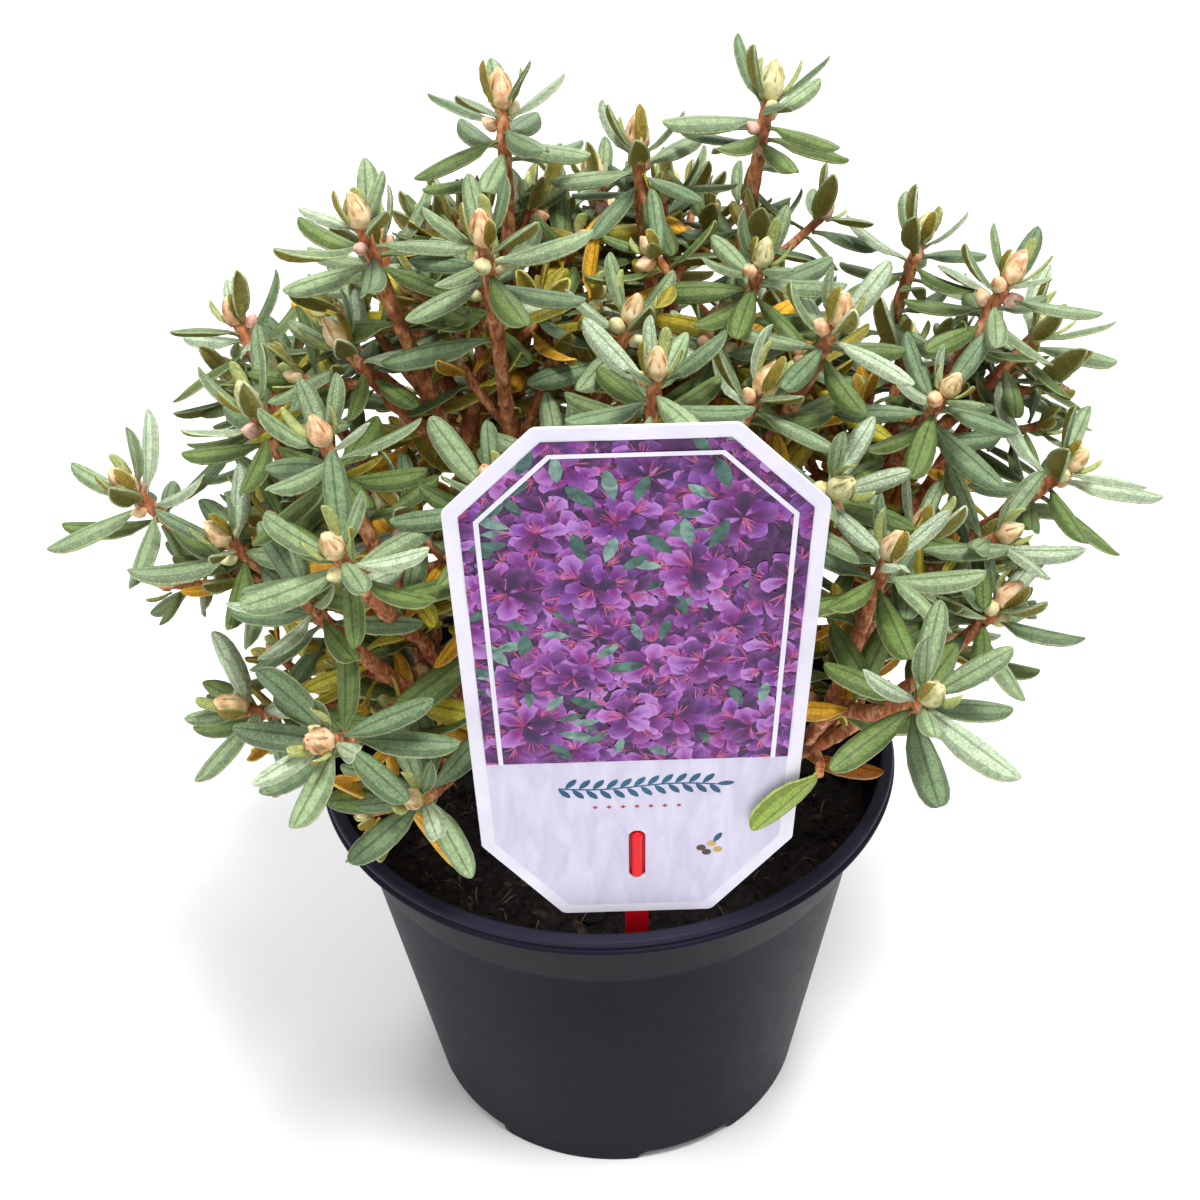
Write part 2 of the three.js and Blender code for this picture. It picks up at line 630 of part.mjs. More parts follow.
function growSideShoots(name, mass, index, leader) {
  const shoots = [];
  for (let number = 1; number < mass.shoots; number += 1) {
    const curve = sideCurve(leader.curve, mass, number);
    const wide = limb(curve, stemRadius, STEM_SIDES, SIDE_STEPS, CLEARANCE);
    if (!isClear(name, wide.add(budSolid(curve, CLEARANCE)))) continue;
    const solid = limb(curve, stemRadius, STEM_SIDES, SIDE_STEPS).add(budSolid(curve));
    take(name, solid);
    shoots.push({ curve, solid, lowerLeaves: SIDE_LOWER_LEAVES, seed: index * 10 + number });
  }
  return shoots;
}

function growLeaves(name, stems) {
  let mass = stems.map((stem) => stem.solid).reduce((all, solid) => all.add(solid));
  for (const stem of stems) {
    for (const { root, along, upward, length } of shootLeaves(stem)) {
      const wide = leafSolid(
        root, along, upward, length + LEAF_ROOM, LEAF_WIDTH + LEAF_ROOM, LEAF_THICKNESS + LEAF_ROOM);
      if (!isClear(name, wide)) continue;
      const leaf = leafSolid(root, along, upward, length, LEAF_WIDTH, LEAF_THICKNESS);
      const joined = mainBody(mass.add(leaf));
      if (!isSound(joined)) continue;
      take(name, leaf);
      mass = joined;
    }
  }
  return mass;
}

// ---------------------------------------------------------------- the whole plant

const plant = new THREE.Group();

function show(name, solid, material) {
  const mesh = new THREE.Mesh(geometryOf(solid), material);
  mesh.name = name;
  plant.add(mesh);
}

const pot = makePot();
const soil = makeSoil(makeStick(CLEARANCE));
const card = makeCard();
const stick = makeStick();
const trunk = makeTrunk();
show("pot", pot, FINISHES.pot());
show("soil", soil, FINISHES.soil());
show("label_card", card, FINISHES.card());
show("label_stick", stick, FINISHES.stick());
show("trunk", trunk, FINISHES.bark());
take("pot", pot);
take("soil", soil);
take("label_card", card);
take("label_stick", stick);
take("trunk", trunk);

let cutter = makeTrunk(CLEARANCE);
for (const [name, bough] of Object.entries(BOUGHS)) {
  const solid = mainBody(makeBough(bough).subtract(cutter));
  cutter = cutter.add(makeBough(bough, CLEARANCE));
  show(`bough_${name}`, solid, FINISHES.bark());
  take(`bough_${name}`, solid);
}

const masses = Object.entries(MASSES);
const stems = new Map(masses.map(([name, mass], index) => [name, [growLeader(name, mass, index + 1)]]));
masses.forEach(([name, mass], index) => {
  const shoots = stems.get(name);
  shoots.push(...growSideShoots(name, mass, index + 1, shoots[0]));
});
for (const [name, shoots] of stems) {
  show(`foliage_${name}`, growLeaves(name, shoots), FINISHES.leaf());
}

export default plant;
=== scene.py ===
"""A young rhododendron in its nursery pot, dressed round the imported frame.

Shapes are worked out in millimetres in the frame's own axes: +Z up, the origin at the centre of
the pot's underside, -Y the front. They become metres when a mesh is made.
"""

import math

import bmesh
import bpy
import numpy as np
from mathutils import Matrix, Vector, noise


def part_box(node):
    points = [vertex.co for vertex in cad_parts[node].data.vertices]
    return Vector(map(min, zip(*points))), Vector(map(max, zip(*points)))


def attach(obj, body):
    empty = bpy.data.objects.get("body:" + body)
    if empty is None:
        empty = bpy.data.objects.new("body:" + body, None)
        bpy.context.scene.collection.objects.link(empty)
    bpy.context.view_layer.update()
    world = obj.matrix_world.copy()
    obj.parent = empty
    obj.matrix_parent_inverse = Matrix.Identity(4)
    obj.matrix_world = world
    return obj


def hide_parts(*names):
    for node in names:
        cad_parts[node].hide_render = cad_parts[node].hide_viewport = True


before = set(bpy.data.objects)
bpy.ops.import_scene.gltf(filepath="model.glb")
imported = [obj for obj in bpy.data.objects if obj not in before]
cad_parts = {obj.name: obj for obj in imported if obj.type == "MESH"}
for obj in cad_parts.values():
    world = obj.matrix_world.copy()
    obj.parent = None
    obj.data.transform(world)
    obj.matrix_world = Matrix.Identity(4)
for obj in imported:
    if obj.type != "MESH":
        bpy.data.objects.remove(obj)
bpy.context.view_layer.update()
MM = 0.001
UP = np.array([0.0, 0.0, 1.0])


def box_mm(node):
    """Lowest and highest corner of a node, in millimetres."""
    low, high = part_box(node)
    return np.array(low) / MM, np.array(high) / MM


# ---------------------------------------------------------------- driving dimensions, mm

# camera: angles in degrees, focal length in pixels of the picture
CAMERA_DISTANCE = 480
CAMERA_ELEVATION = 34.94
CAMERA_ROLL = -2.03
CAMERA_TARGET = (-0.7, 0, 171)
FOCAL_PIXELS = 1703
IMAGE_PIXELS = 1200
SENSOR_WIDTH = 36

# studio: place and diameter of each light in metres, power in watts
LIGHTS = {
    "key": ((0.3, -0.5, 1.8), 0.5, 32),
    "fill": ((-1.2, -0.8, 0.9), 1.2, 6),
    "back": ((0.3, 1.5, 1.4), 1.2, 17),
}
LIGHT_TARGET = (0, 0, 0.17)
SKY_COLOUR = (0.985, 0.99, 1, 1)
SKY_STRENGTH = 0.7
FLOOR_HALF = 3000

# pot: the collar's foot and top are (radius, height)
POT_RADIUS = box_mm("pot")[1][0]
POT_HEIGHT = box_mm("pot")[1][2]
POT_BASE_RADIUS = 59.2
POT_SHOULDER_RADIUS = 75.3
POT_SHOULDER_HEIGHT = 98.9
POT_COLLAR_FOOT = (77, 100.5)
POT_COLLAR_TOP = (83, 117.3)
POT_WALL = 1.8
POT_FLOOR = 2.2
POT_SIDES = 240
# how far under the rim the painted highlight on the lip reaches
LIP_HIGHLIGHT_DEPTH = 5
DRAIN_COUNT = 5
DRAIN_FIRST_AZIMUTH = -70
DRAIN_LIFT = 3.5
DRAIN_WIDTH = 29
DRAIN_INNER_RADIUS = 42
DRAIN_SOFTNESS = 1.6
DRAIN_HOLE_RADIUS = 4
DRAIN_HOLE_PLACE = 49
DRAIN_HOLE_SIDES = 24
# the cylinders that cut the holes start this far under the recesses' roofs and are this high
CUTTER_DEPTH = 3
CUTTER_HEIGHT = 8
# heights of the wall's rings, close together where the recesses end
WALL_HEIGHTS = (0.35, 0.9, 1.6, 2.4, 3.0, 3.5, 4.2, 6, *range(10, 98, 8), 97)
FLOOR_RADII = (58.6, 57, 54, 51, 48, 45, 43.5, 42.8, 42, 41.2, 40.5, 38, 30, 16)

# soil
SOIL_LEVEL = box_mm("soil")[1][2]
SOIL_UNDERSIDE = 6.2
SOIL_SHOULDER = 98
SOIL_SIDES = 200
SOIL_RINGS = 70
# crumbs and fibres: stretch and roughness are shares, curl is in radians
CRUMB_COUNT = 1500
CRUMB_RADIUS = (0.5, 2)
CRUMB_STRETCH = ((1, 2.2), (0.7, 1.2), (0.5, 0.9))
CRUMB_ROUGHNESS = 0.35
FIBRE_COUNT = 420
FIBRE_LENGTH = (3, 12)
FIBRE_RADIUS = (0.12, 0.28)
FIBRE_CURL = (-1.3, 1.3)

# label card and its stick, up the stick from CARD_FOOT, angles in degrees
CARD_WIDTH = 80
CARD_LOW = 18
CARD_HIGH = 178
CARD_FOOT_WIDTH = 77.4
CARD_TOP_END = 41
CARD_FOOT_END = 38.4
CARD_TOP_CUT = 21
CARD_FOOT_CUT = 29
CARD_ROUNDING = 2.2
CARD_THICKNESS = 0.7
CARD_BEVEL = 0.08
CARD_FRONT = 1.0
CARD_LEAN = 9
CARD_TURN = -0.5
CARD_FOOT = (6, -72, 107)
SLOT_WIDTH = 4.2
SLOT_LOW = 32.5
SLOT_HIGH = 51.5
STICK_WIDTH = 6.2
STICK_BACK = -1.9
STICK_FRONT = -0.3
STICK_LOW = -16
STICK_HIGH = 54
STICK_TAPER = 8
STICK_POINT = 1.2
STICK_BEVEL = 0.4
# the stick's tongue: room round it in the slot, how far it stands out of the card and is rooted in
# the stick, and its rounding
TONGUE_ROOM = 0.8
TONGUE_RISE = 0.8
TONGUE_BEVEL = 0.7

# trunk, boughs and stems: a pair of radii is at foot and tip, the trunk's lean is how far its top
# is shifted in x and y, and the pairs of the side shoots are ranges
TRUNK_RADIUS = 7
TRUNK_FLARE_RADIUS = 11
TRUNK_TOP = 131
TRUNK_LEAN = (3, 2)
BOUGH_RADII = (4.5, 3.5)
STEM_RADII = (2.15, 1.7)
STEM_SPREAD = 2.4
FORK_LENGTH = 6
STEM_OVERLAP = 2.5
# how far limbs sag or bow out on their way, as a share of their length, or of the side shoot's
# distance from its leader
BOUGH_SAG = 0.12
LEADER_SAG = 0.1
SIDE_BOW = 0.22
LATE_BOW = 0.2
# a leader's inner control points, as shares of its length
LEADER_BENDS = (0.28, 0.72)
CLEARANCE = 0.3
SIDE_FORK = (0.34, 0.6)
SIDE_SPREAD = (16, 38)
SIDE_DROP = (6, 34)
SPUR_RADII = (1.4, 1.15)
# rings and sides of their meshes, and the stretch over which a bough's end closes
TRUNK_RINGS = 34
TRUNK_SIDES = 36
BOUGH_STEP = 0.9
BOUGH_SIDES = 24
BOUGH_END = 2.2
STEM_STEP = 1.05
STEM_SIDES = 12
SPUR_SIDES = 8
# bark: roughness as a share of the radius, distance between leaf scars, size of their cushions
TRUNK_BARK = (0.12, 9, 0)
BOUGH_BARK = (0.12, 5, 0.3)
STEM_BARK = (0.11, 3.6, 0.28)
SCAR_LENGTH = 1.1
SCAR_SPREAD = 0.55

# buds: how far a leader's tip lies under its bud's place, full size, and the ranges of their sizes
BUD_SEAT = 5
BUD_LENGTH = 9
BUD_WIDTH = 7.6
BUD_SIZES = (0.86, 1.12)
SPUR_BUD_SIZES = (0.5, 0.7)
SIDE_BUD_LENGTH = (4.6, 6.2)
SIDE_BUD_WIDTH = 0.86
# the egg under the scales, as shares of the bud's length and width
CORE_LENGTH = 0.94
CORE_WIDTH = 0.84
# scales: place outward as a share of the bud's width, lean and droop in degrees, and reach as a
# share of the bud's length, each for the first row with the step to the next
SCALE_PLACE = (0.25, -0.03)
SCALE_LEAN = (34, -9)
SCALE_BEND = (66, -10)
SCALE_REACH = (0.5, 0.16)
# where the rows begin along the bud, the range of a scale's size, the half arc of its section in
# degrees, its width as a share of the bud's, how many a row has, and its thickness
SCALE_HEIGHTS = (0.02, 0.32)
SCALE_SIZES = (0.94, 1.06)
SCALE_ROLL = 56
SCALE_WIDTH = 0.8
SCALES_IN_ROW = 4
SCALE_THICKNESS = 0.22
BRACT_LENGTH = (7.5, 12.5)
BRACT_WIDTH = 3.4
BRACT_THICKNESS = 0.4

# leaves: the angle from one to the next round a stem and the range of a shoot's own turn, in
# degrees, and how many a rosette has
GOLDEN_ANGLE = 137.5
LEAF_SWAY = 50
ROSETTE_LEAVES = 11
# the leaf that points away from the trunk, and the first one after those of the rosette's heart and
# after those in the upper colours
OUTWARD_LEAF = 4
ROSETTE_HEART = 5
UPPER_LEAVES = 6
# their size, the groove along the midrib, and how far from the stem's middle they start
LEAF_LENGTH = 23.8
SPUR_LEAF_LENGTH = 21
LEAF_SLENDERNESS = 0.24
LEAF_EXTRA_WIDTH = 0.6
LEAF_THICKNESS = 0.55
LEAF_GROOVE = 0.5
LEAF_ROOT = 1.2
# how leaves differ by chance: length and width as shares of the common ones, half arc of the
# section, droop, twist and turn about their length, in degrees
LEAF_LENGTHS = (0.84, 1.12)
LEAF_WIDTHS = (0.9, 1.18)
LEAF_ROLLS = (58, 86)
LEAF_BENDS = (-20, 34)
LEAF_TWISTS = (-20, 20)
LEAF_TURNS = (-15, 15)
# how much of its slope a leaf loses when it hangs and when it rises, and how level it turns its face
LEAF_LIFT = 0.7
LEAF_SINK = 0.45
LEAF_LEVEL = 0.8
# rosettes of shoots and of spurs: a leaf's distance under the bud, its lean in degrees and its
# share of the full length, each for the first leaf with the step to the next; then the greatest
# lean, and the range of its chance
ROSETTE = ((0.8, 1.1), (28, 9), (0.66, 0.09), 92, 14)
SPUR_ROSETTE = ((0.6, 1.4), (30, 11), (0.55, 0.12), 90, 16)
# rosettes are larger on outer shoots and, between these heights, become smaller by this share; on
# outer shoots the outward leaf is the longest
OUTER_SIZE = 1.08
OUTWARD_SIZE = 1.15
SHRINK_HEIGHTS = (220, 300)
SHRINK_SHARE = 0.06
# lower leaves, as distances under the bud: the first, the step to the next, where their colours
# turn to the inner ones, and where they end, higher on the crown's top shoots
LOWER_FIRST = 13
LOWER_PITCH = 6.8
INNER_BELOW = 24
LOWEST = 50
LOWEST_ON_TOP = 32
# shares of a shoot, from its bud, past which it has no lower leaves and no leaves at all
LAST_LOWER_LEAF = 0.75
LAST_LEAF = 0.93
# how lower and old leaves differ by chance: shift along the stem, lean in degrees, and size as a
# share of the full length, or length of the old ones
LOWER_SHIFT = (-1.5, 1.5)
LOWER_LEAN = (70, 106)
LOWER_SIZE = (0.88, 1.08)
OLD_LEAN = (50, 110)
OLD_LENGTH = (20.5, 29.5)
# how many old leaves follow the lower ones, and how much higher than those' end they begin
OLD_OVERLAP = 4
OLD_ON_LEADER = 10
OLD_ON_SIDE_SHOOT = 4

# leaves, bracts and scales: shares of the length where their rings lie, and shares of the half arc
# where the columns of their upper face and of their underside lie
LEAF_STATIONS = (0, 0.06, 0.14, 0.28, 0.45, 0.62, 0.77, 0.88, 0.95, 0.985)
LEAF_COLUMNS = (-1, -0.88, -0.52, -0.07, 0.07, 0.52, 0.88, 1)
LEAF_UNDER = (0.97, 0.35, -0.35, -0.97)
BRACT_STATIONS = (0, 0.12, 0.35, 0.62, 0.85, 0.96)
BRACT_UNDER = (0.9, 0, -0.9)
SCALE_STATIONS = (0, 0.25, 0.55, 0.8, 0.95)
SCALE_UNDER = (0.9, -0.9)
PLAIN_COLUMNS = (-1, -0.5, 0, 0.5, 1)

# spurs: how many a shoot has, how far the first lies under the bud and the step to the next, both
# as shares of the shoot, how many leaves a spur has, its shift along the shoot as such a share, its
# lean in degrees, its length, and how much longer it is on a top shoot
LEADER_SPURS = 4
SIDE_SHOOT_SPURS = 1
MORE_SPURS_ON_TOP = 3
SPUR_PLACES = (0.3, 0.15)
SPUR_PLACES_ON_TOP = (0.28, 0.09)
SPUR_LEAVES = 7
SPUR_SHIFT = (0, 0.08)
SPUR_LEAN = (52, 72)
SPUR_LENGTH = (11, 24)
TOP_SPUR_FACTOR = 1.35

# the leaf over the label: the mass whose leader its twig forks from, the place on that leader and
# the twig's radii; in the card's axes the twig's bend, its end and the leaf's tip; then the leaf's
# width and thickness
OVERHANG_MASS = "right_low"
OVERHANG_FORK = 0.12
OVERHANG_RADII = (1.4, 1.1)
OVERHANG = ((47, 66, -14), (43.2, 74, 3.5), (28.6, 53, 5.5))
OVERHANG_LEAF = (9.6, 0.45)

# crown: shoots that end past this reach or height are its outer and top ones
OUTER_REACH = 118
TOP_HEIGHT = 262
# faded leaves show only within this share of the crown's half axes
INNER_SHARE = 0.79
CROWN_CENTRE = (0, 0, 150)
CROWN_SIZE = (140, 118, 165)
# below this height the crown is open: this share of the lower leaves is left out
OPEN_HEIGHT = 186
OPEN_SHARE = 0.55
# stems are bare in front from this far under the bud: leaves that point forward by more than this
# share are left out there, or by more than twice as much under the crown's top; spurs have a share
# of their own
BARE_BELOW = 18
BARE_SIDE = 0.1
SPUR_FRONT = 0.45

# bough: azimuth, reach and height of its tip, height on the trunk where it starts
BOUGHS = {
    "top_left": (190, 15, 168, 127),
    "top_right": (25, 19, 164, 127),
    "front": (266, 26, 154, 124),
    "right_front": (322, 54, 137, 115),
    "right": (358, 38, 152, 121),
    "back_right": (52, 38, 148, 118),
    "back_left": (126, 38, 147, 118),
    "left": (192, 42, 145, 117),
    "left_front": (228, 43, 149, 120),
}

# mass: its bough, azimuth, reach and height of its leading bud, number of shoots, roll of the
# first side shoot, seed of the side shoots' sizes
MASSES = {
    "top_back_left": ("top_left", 136, 29, 312, 2, 0, 1),
    "top_left": ("top_left", 200, 58, 298, 3, 100, 13),
    "top_front": ("top_left", 231, 39, 297, 2, 30, 1),
    "top_back": ("top_right", 67, 33, 296, 2, 220, 33),
    "top_right": ("top_right", 28, 53, 310, 2, 150, 9),
    "right_high": ("top_right", 333, 66, 273, 3, 100, 39),
    "front_high": ("front", 286, 52, 272, 3, 330, 8),
    "front_left": ("front", 250, 74, 255, 3, 40, 16),
    "right_front": ("right_front", 314, 97, 233, 3, 250, 6),
    "right_low": ("right_front", 334, 114, 204, 2, 0, 1),
    "right_outer": ("right", 351, 126, 224, 3, 30, 6),
    "right": ("right", 0, 107, 269, 3, 20, 41),
    "right_back": ("right", 19, 95, 268, 2, 0, 1),
    "back_outer": ("back_right", 30, 124, 204, 3, 210, 1),
    "back_right": ("back_right", 58, 112, 222, 3, 20, 13),
    "back": ("back_right", 86, 100, 240, 3, 290, 16),
    "back_left": ("back_left", 120, 108, 228, 3, 110, 1),
    "left_back": ("back_left", 152, 120, 203, 3, 240, 39),
    "left_high": ("left", 193, 89, 251, 3, 170, 30),
    "left_outer": ("left", 189, 124, 227, 2, 100, 21),
    "left_low": ("left", 207, 110, 176, 2, 40, 1),
    "left_inner": ("left_front", 218, 82, 258, 2, 350, 6),
    "left_front": ("left_front", 224, 100, 226, 2, 320, 6),
    "front_low": ("left_front", 240, 98, 172, 2, 30, 1),
}

# finer side shoots of a leader: where each forks, as a share of the leader, and its tip
LATE_SHOOTS = {
    "left_high": [(0.5, -94, 20, 251)],
    "top_back_left": [(0.5, -12, 46, 272), (0.58, -30, 44, 268)],
    "top_back": [(0.5, 2, 52, 274)],
    "right": [(0.55, 118, 14, 243)],
    "back_left": [(0.5, -58, 58, 243), (0.58, -76, 66, 226)],
    "left_back": [(0.55, -84, 34, 229)],
}


# ---------------------------------------------------------------- small mathematics


def chance(index, salt):
    """A number from 0 to 1 that is always the same for the same pair."""
    value = math.sin(index * 12.9898 + salt * 78.233) * 43758.5453
    return value - math.floor(value)


def between(ends, share):
    return ends[0] + (ends[1] - ends[0]) * share


def drawn(ends, index, salt):
    """A value from a range, by chance."""
    return between(ends, chance(index, salt))


def stepped(row, number):
    """A member of a row that is given by its first member and the step to the next."""
    return row[0] + row[1] * number


def unit(vector):
    return vector / np.linalg.norm(vector, axis=-1, keepdims=True)


def polar(azimuth, reach, height):
    angle = math.radians(azimuth)
    return np.array([reach * math.cos(angle), reach * math.sin(angle), height])


def heading(angle):
    """A direction in a plane and the one to its left."""
    along = np.array([math.cos(angle), math.sin(angle)])
    return along, np.array([-along[1], along[0]])


def flatten(vector, axis):
    """The part of a vector that is square to an axis."""
    return vector - axis * np.dot(vector, axis)


def golden_turn(number):
    """The angle of a leaf's or scale's place round its stem."""
    return math.radians(GOLDEN_ANGLE * number)


def turned(vector, axis, angle):
    """A vector turned about a unit axis that is square to it."""
    return vector * math.cos(angle) + np.cross(axis, vector) * math.sin(angle)


def smooth_step(value):
    value = np.clip(value, 0, 1)
    return value * value * (3 - 2 * value)


def rectangle(low_x, low_y, high_x, high_y):
    return [(low_x, low_y), (high_x, low_y), (high_x, high_y), (low_x, high_y)]


class Bezier:
    """A curve drawn by control points, with places along it by parameter or by length."""

    def __init__(self, *controls):
        self.controls = np.array(controls, float)
        self.parameters = np.linspace(0, 1, 201)
        steps = np.linalg.norm(np.diff(self.points(self.parameters), axis=0), axis=1)
        self.lengths = np.concatenate([[0], np.cumsum(steps)])
        self.length = self.lengths[-1]

    def points(self, parameters, controls=None):
        level = self.controls if controls is None else controls
        t = np.reshape(parameters, (-1, 1, 1))
        level = np.broadcast_to(level, (len(t), *level.shape))
        while level.shape[1] > 1:
            level = level[:, :-1] * (1 - t) + level[:, 1:] * t
        return level[:, 0]

    def point(self, parameter):
        return self.points([parameter])[0]

    def tangent(self, parameter):
        return unit(self.points([parameter], np.diff(self.controls, axis=0))[0])

    def at(self, share):
        """Point and direction at a share of the curve's length."""
        parameter = np.interp(share * self.length, self.lengths, self.parameters)
        return self.point(parameter), self.tangent(parameter)


# ---------------------------------------------------------------- meshes


class Heap:
    """Points and faces gathered into one mesh. Each face carries the number of its material."""

    def __init__(self):
        self.points, self.faces, self.kinds, self.count = [], [], [], 0
        self.values = []

    def add(self, points, faces, kinds, values=None):
        points = np.asarray(points, float).reshape(-1, 3)
        for face_set, kind in zip(faces, kinds):
            face_set = np.asarray(face_set)
            self.faces.append(face_set + self.count)
            self.kinds.append(np.broadcast_to(kind, len(face_set)))
        self.points.append(points)
        if values is not None:
            self.values.append(np.asarray(values, float))
        self.count += len(points)

    def mesh(self, name, materials, smooth=True):
        mesh = bpy.data.meshes.new(name)
        points = np.concatenate(self.points) * MM
        sizes = np.concatenate([np.full(len(f), f.shape[1]) for f in self.faces])
        corners = np.concatenate([f.ravel() for f in self.faces])
        mesh.vertices.add(len(points))
        mesh.vertices.foreach_set("co", points.astype(np.float32).ravel())
        mesh.loops.add(len(corners))
        mesh.loops.foreach_set("vertex_index", corners.astype(np.int32))
        mesh.polygons.add(len(sizes))
        starts = np.concatenate([[0], np.cumsum(sizes)[:-1]])
        mesh.polygons.foreach_set("loop_start", starts.astype(np.int32))
        kinds = np.concatenate(self.kinds).astype(np.int32)
        mesh.polygons.foreach_set("material_index", kinds)
        mesh.polygons.foreach_set("use_smooth", np.full(len(sizes), smooth))
        for material in materials:
            mesh.materials.append(material)
        mesh.update(calc_edges=True)
        mesh.validate()
        return mesh

    def piece(self, name, materials, slot, replaces=(), smooth=True):
        return piece(name, self.mesh(name, materials, smooth), replaces)


def linked(name, data):
    """An object in the scene that holds the data."""
    made = bpy.data.objects.new(name, data)
    bpy.context.scene.collection.objects.link(made)
    return made


def piece(name, mesh, replaces=()):
    """A mesh as a named piece that rides on the part's one body."""
    made = linked(name, mesh)
    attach(made, "root")
    if replaces:
        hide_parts(*replaces)
    return made


def loft_faces(rings, sides):
    """Quads between closed rings of points, and a fan at each end to one point of its own."""
    ring, side = np.divmod(np.arange((rings - 1) * sides), sides)
    after = (side + 1) % sides
    low, high = ring * sides, (ring + 1) * sides
    quads = np.stack([low + side, low + after, high + after, high + side], -1)
    side = np.arange(sides)
    after = (side + 1) % sides
    first = np.full(sides, rings * sides)
    start = np.stack([first, after, side], -1)
    last_ring = (rings - 1) * sides
    end = np.stack([first + 1, last_ring + side, last_ring + after], -1)
    return quads, np.concatenate([start, end])


def add_loft(heap, rings, ends, kind=0):
    """One closed body: rings (R, N, 3) and the two end points (2, 3)."""
    quads, fans = loft_faces(rings.shape[0], rings.shape[1])
    heap.add(np.concatenate([rings.reshape(-1, 3), ends]), [quads, fans], [kind, kind])


def carried_frames(tangents):
    """Two directions square to each tangent, carried along without twist."""
    start = np.cross(UP, tangents[0])
    if np.linalg.norm(start) < 1e-3:
        start = np.array([1.0, 0, 0])
    normals = [unit(start)]
    for tangent in tangents[1:]:
        normals.append(unit(flatten(normals[-1], tangent)))
    normals = np.array(normals)
    return normals, np.cross(tangents, normals)


def add_tube(heap, points, radii, sides, kind=0):
    """A tube through points. radii is (R,) or, for a surface in relief, (R, N)."""
    points = np.asarray(points, float)
    tangents = unit(np.gradient(points, axis=0))
    normals, binormals = carried_frames(tangents)
    angles = np.arange(sides) * 2 * math.pi / sides
    radii = np.broadcast_to(np.reshape(radii, (len(points), -1)), (len(points), sides))
    across = np.cos(angles)[None, :, None] * normals[:, None]
    aside = np.sin(angles)[None, :, None] * binormals[:, None]
    rings = points[:, None] + radii[..., None] * (across + aside)
    add_loft(heap, rings, points[[0, -1]], kind)


def add_lathe(heap, profile, sides, height_at):
    """A profile of (radius, height) from axis to axis, turned round Z, with its heights changed."""
    profile = np.array(profile, float)
    angles = np.arange(sides) * 2 * math.pi / sides
    radii = np.broadcast_to(profile[1:-1, :1], (len(profile) - 2, sides))
    heights = height_at(radii, np.broadcast_to(profile[1:-1, 1:], radii.shape), angles[None])
    rings = np.stack([radii * np.cos(angles), radii * np.sin(angles), heights], -1)
    add_loft(heap, rings, np.array([[0, 0, profile[0, 1]], [0, 0, profile[-1, 1]]]))


# ---------------------------------------------------------------- materials


def srgb(red, green, blue):
    """A colour of 0-255 values as Blender's linear one."""
    shares = [c / 255 for c in (red, green, blue)]
    return (*[c / 12.92 if c <= 0.04045 else ((c + 0.055) / 1.055) ** 2.4 for c in shares], 1)


def shaded(colour, factor):
    return (*[min(1, c * factor) for c in colour[:3]], 1)


def blended(first, second, share):
    return tuple(between(pair, share) for pair in zip(first, second))


class Look:
    """A material with a Principled shader. Its methods add nodes and return their outputs."""

    def __init__(self, name, roughness, specular=0.5, coat=0.0):
        self.material = bpy.data.materials.new(name)
        self.material.use_nodes = True
        self.tree = self.material.node_tree
        self.shader = self.tree.nodes["Principled BSDF"]
        self.shader.inputs["Roughness"].default_value = roughness
        self.shader.inputs["Specular IOR Level"].default_value = specular
        self.shader.inputs["Coat Weight"].default_value = coat
        self.place = self.node("TexCoord").outputs["Object"]

    def node(self, kind, inputs=(), **settings):
        made = self.tree.nodes.new("ShaderNode" + kind)
        for name, value in settings.items():
            setattr(made, name, value)
        for socket, value in dict(inputs).items():
            if isinstance(value, bpy.types.NodeSocket):
                self.tree.links.new(value, made.inputs[socket])
            else:
                made.inputs[socket].default_value = value
        return made

    def noise(self, scale, detail=4, distortion=0.0, stretch=None):
        place = self.place
        if stretch:
            place = self.node("Mapping", {"Vector": place, "Scale": stretch}).outputs[0]
        return self.node("TexNoise", {
            "Vector": place, "Scale": scale, "Detail": detail, "Distortion": distortion}).outputs["Fac"]

    def attribute(self, name):
        return self.node("Attribute", attribute_name=name).outputs["Fac"]

    def above(self, heights):
        """0 below the lower height in mm, 1 above the upper one."""
        height = self.node("SeparateXYZ", {0: self.place}).outputs[2]
        return self.range(height, 0, 1, [h * MM for h in heights])

    def ramp(self, factor, colours, low=0.32, high=0.7):
        """Colours spread evenly between two values of a factor."""
        node = self.node("ValToRGB", {"Fac": factor})
        elements = node.color_ramp.elements
        while len(elements) < len(colours):
            elements.new(0.5)
        for i, (element, colour) in enumerate(zip(elements, colours)):
            element.position = low + (high - low) * i / (len(colours) - 1)
            element.color = colour
        return node.outputs["Color"]

    def mix(self, factor, first, second):
        return self.node("Mix", {0: factor, 6: first, 7: second}, data_type="RGBA").outputs[2]

    def range(self, factor, low, high, source=(0.3, 0.7)):
        return self.node("MapRange", {0: factor, 1: source[0], 2: source[1], 3: low, 4: high}).outputs[0]

    def colour(self, output):
        self.tree.links.new(output, self.shader.inputs["Base Color"])

    def roughness(self, factor, low, high):
        self.tree.links.new(self.range(factor, low, high), self.shader.inputs["Roughness"])

    def bump(self, *layers):
        """Bump layers as (height output, strength, distance in mm), coarse first."""
        normal = None
        for height, strength, distance in layers:
            inputs = {"Strength": strength, "Distance": distance * MM, "Height": height}
            if normal is not None:
                inputs["Normal"] = normal
            normal = self.node("Bump", inputs).outputs["Normal"]
        self.tree.links.new(normal, self.shader.inputs["Normal"])


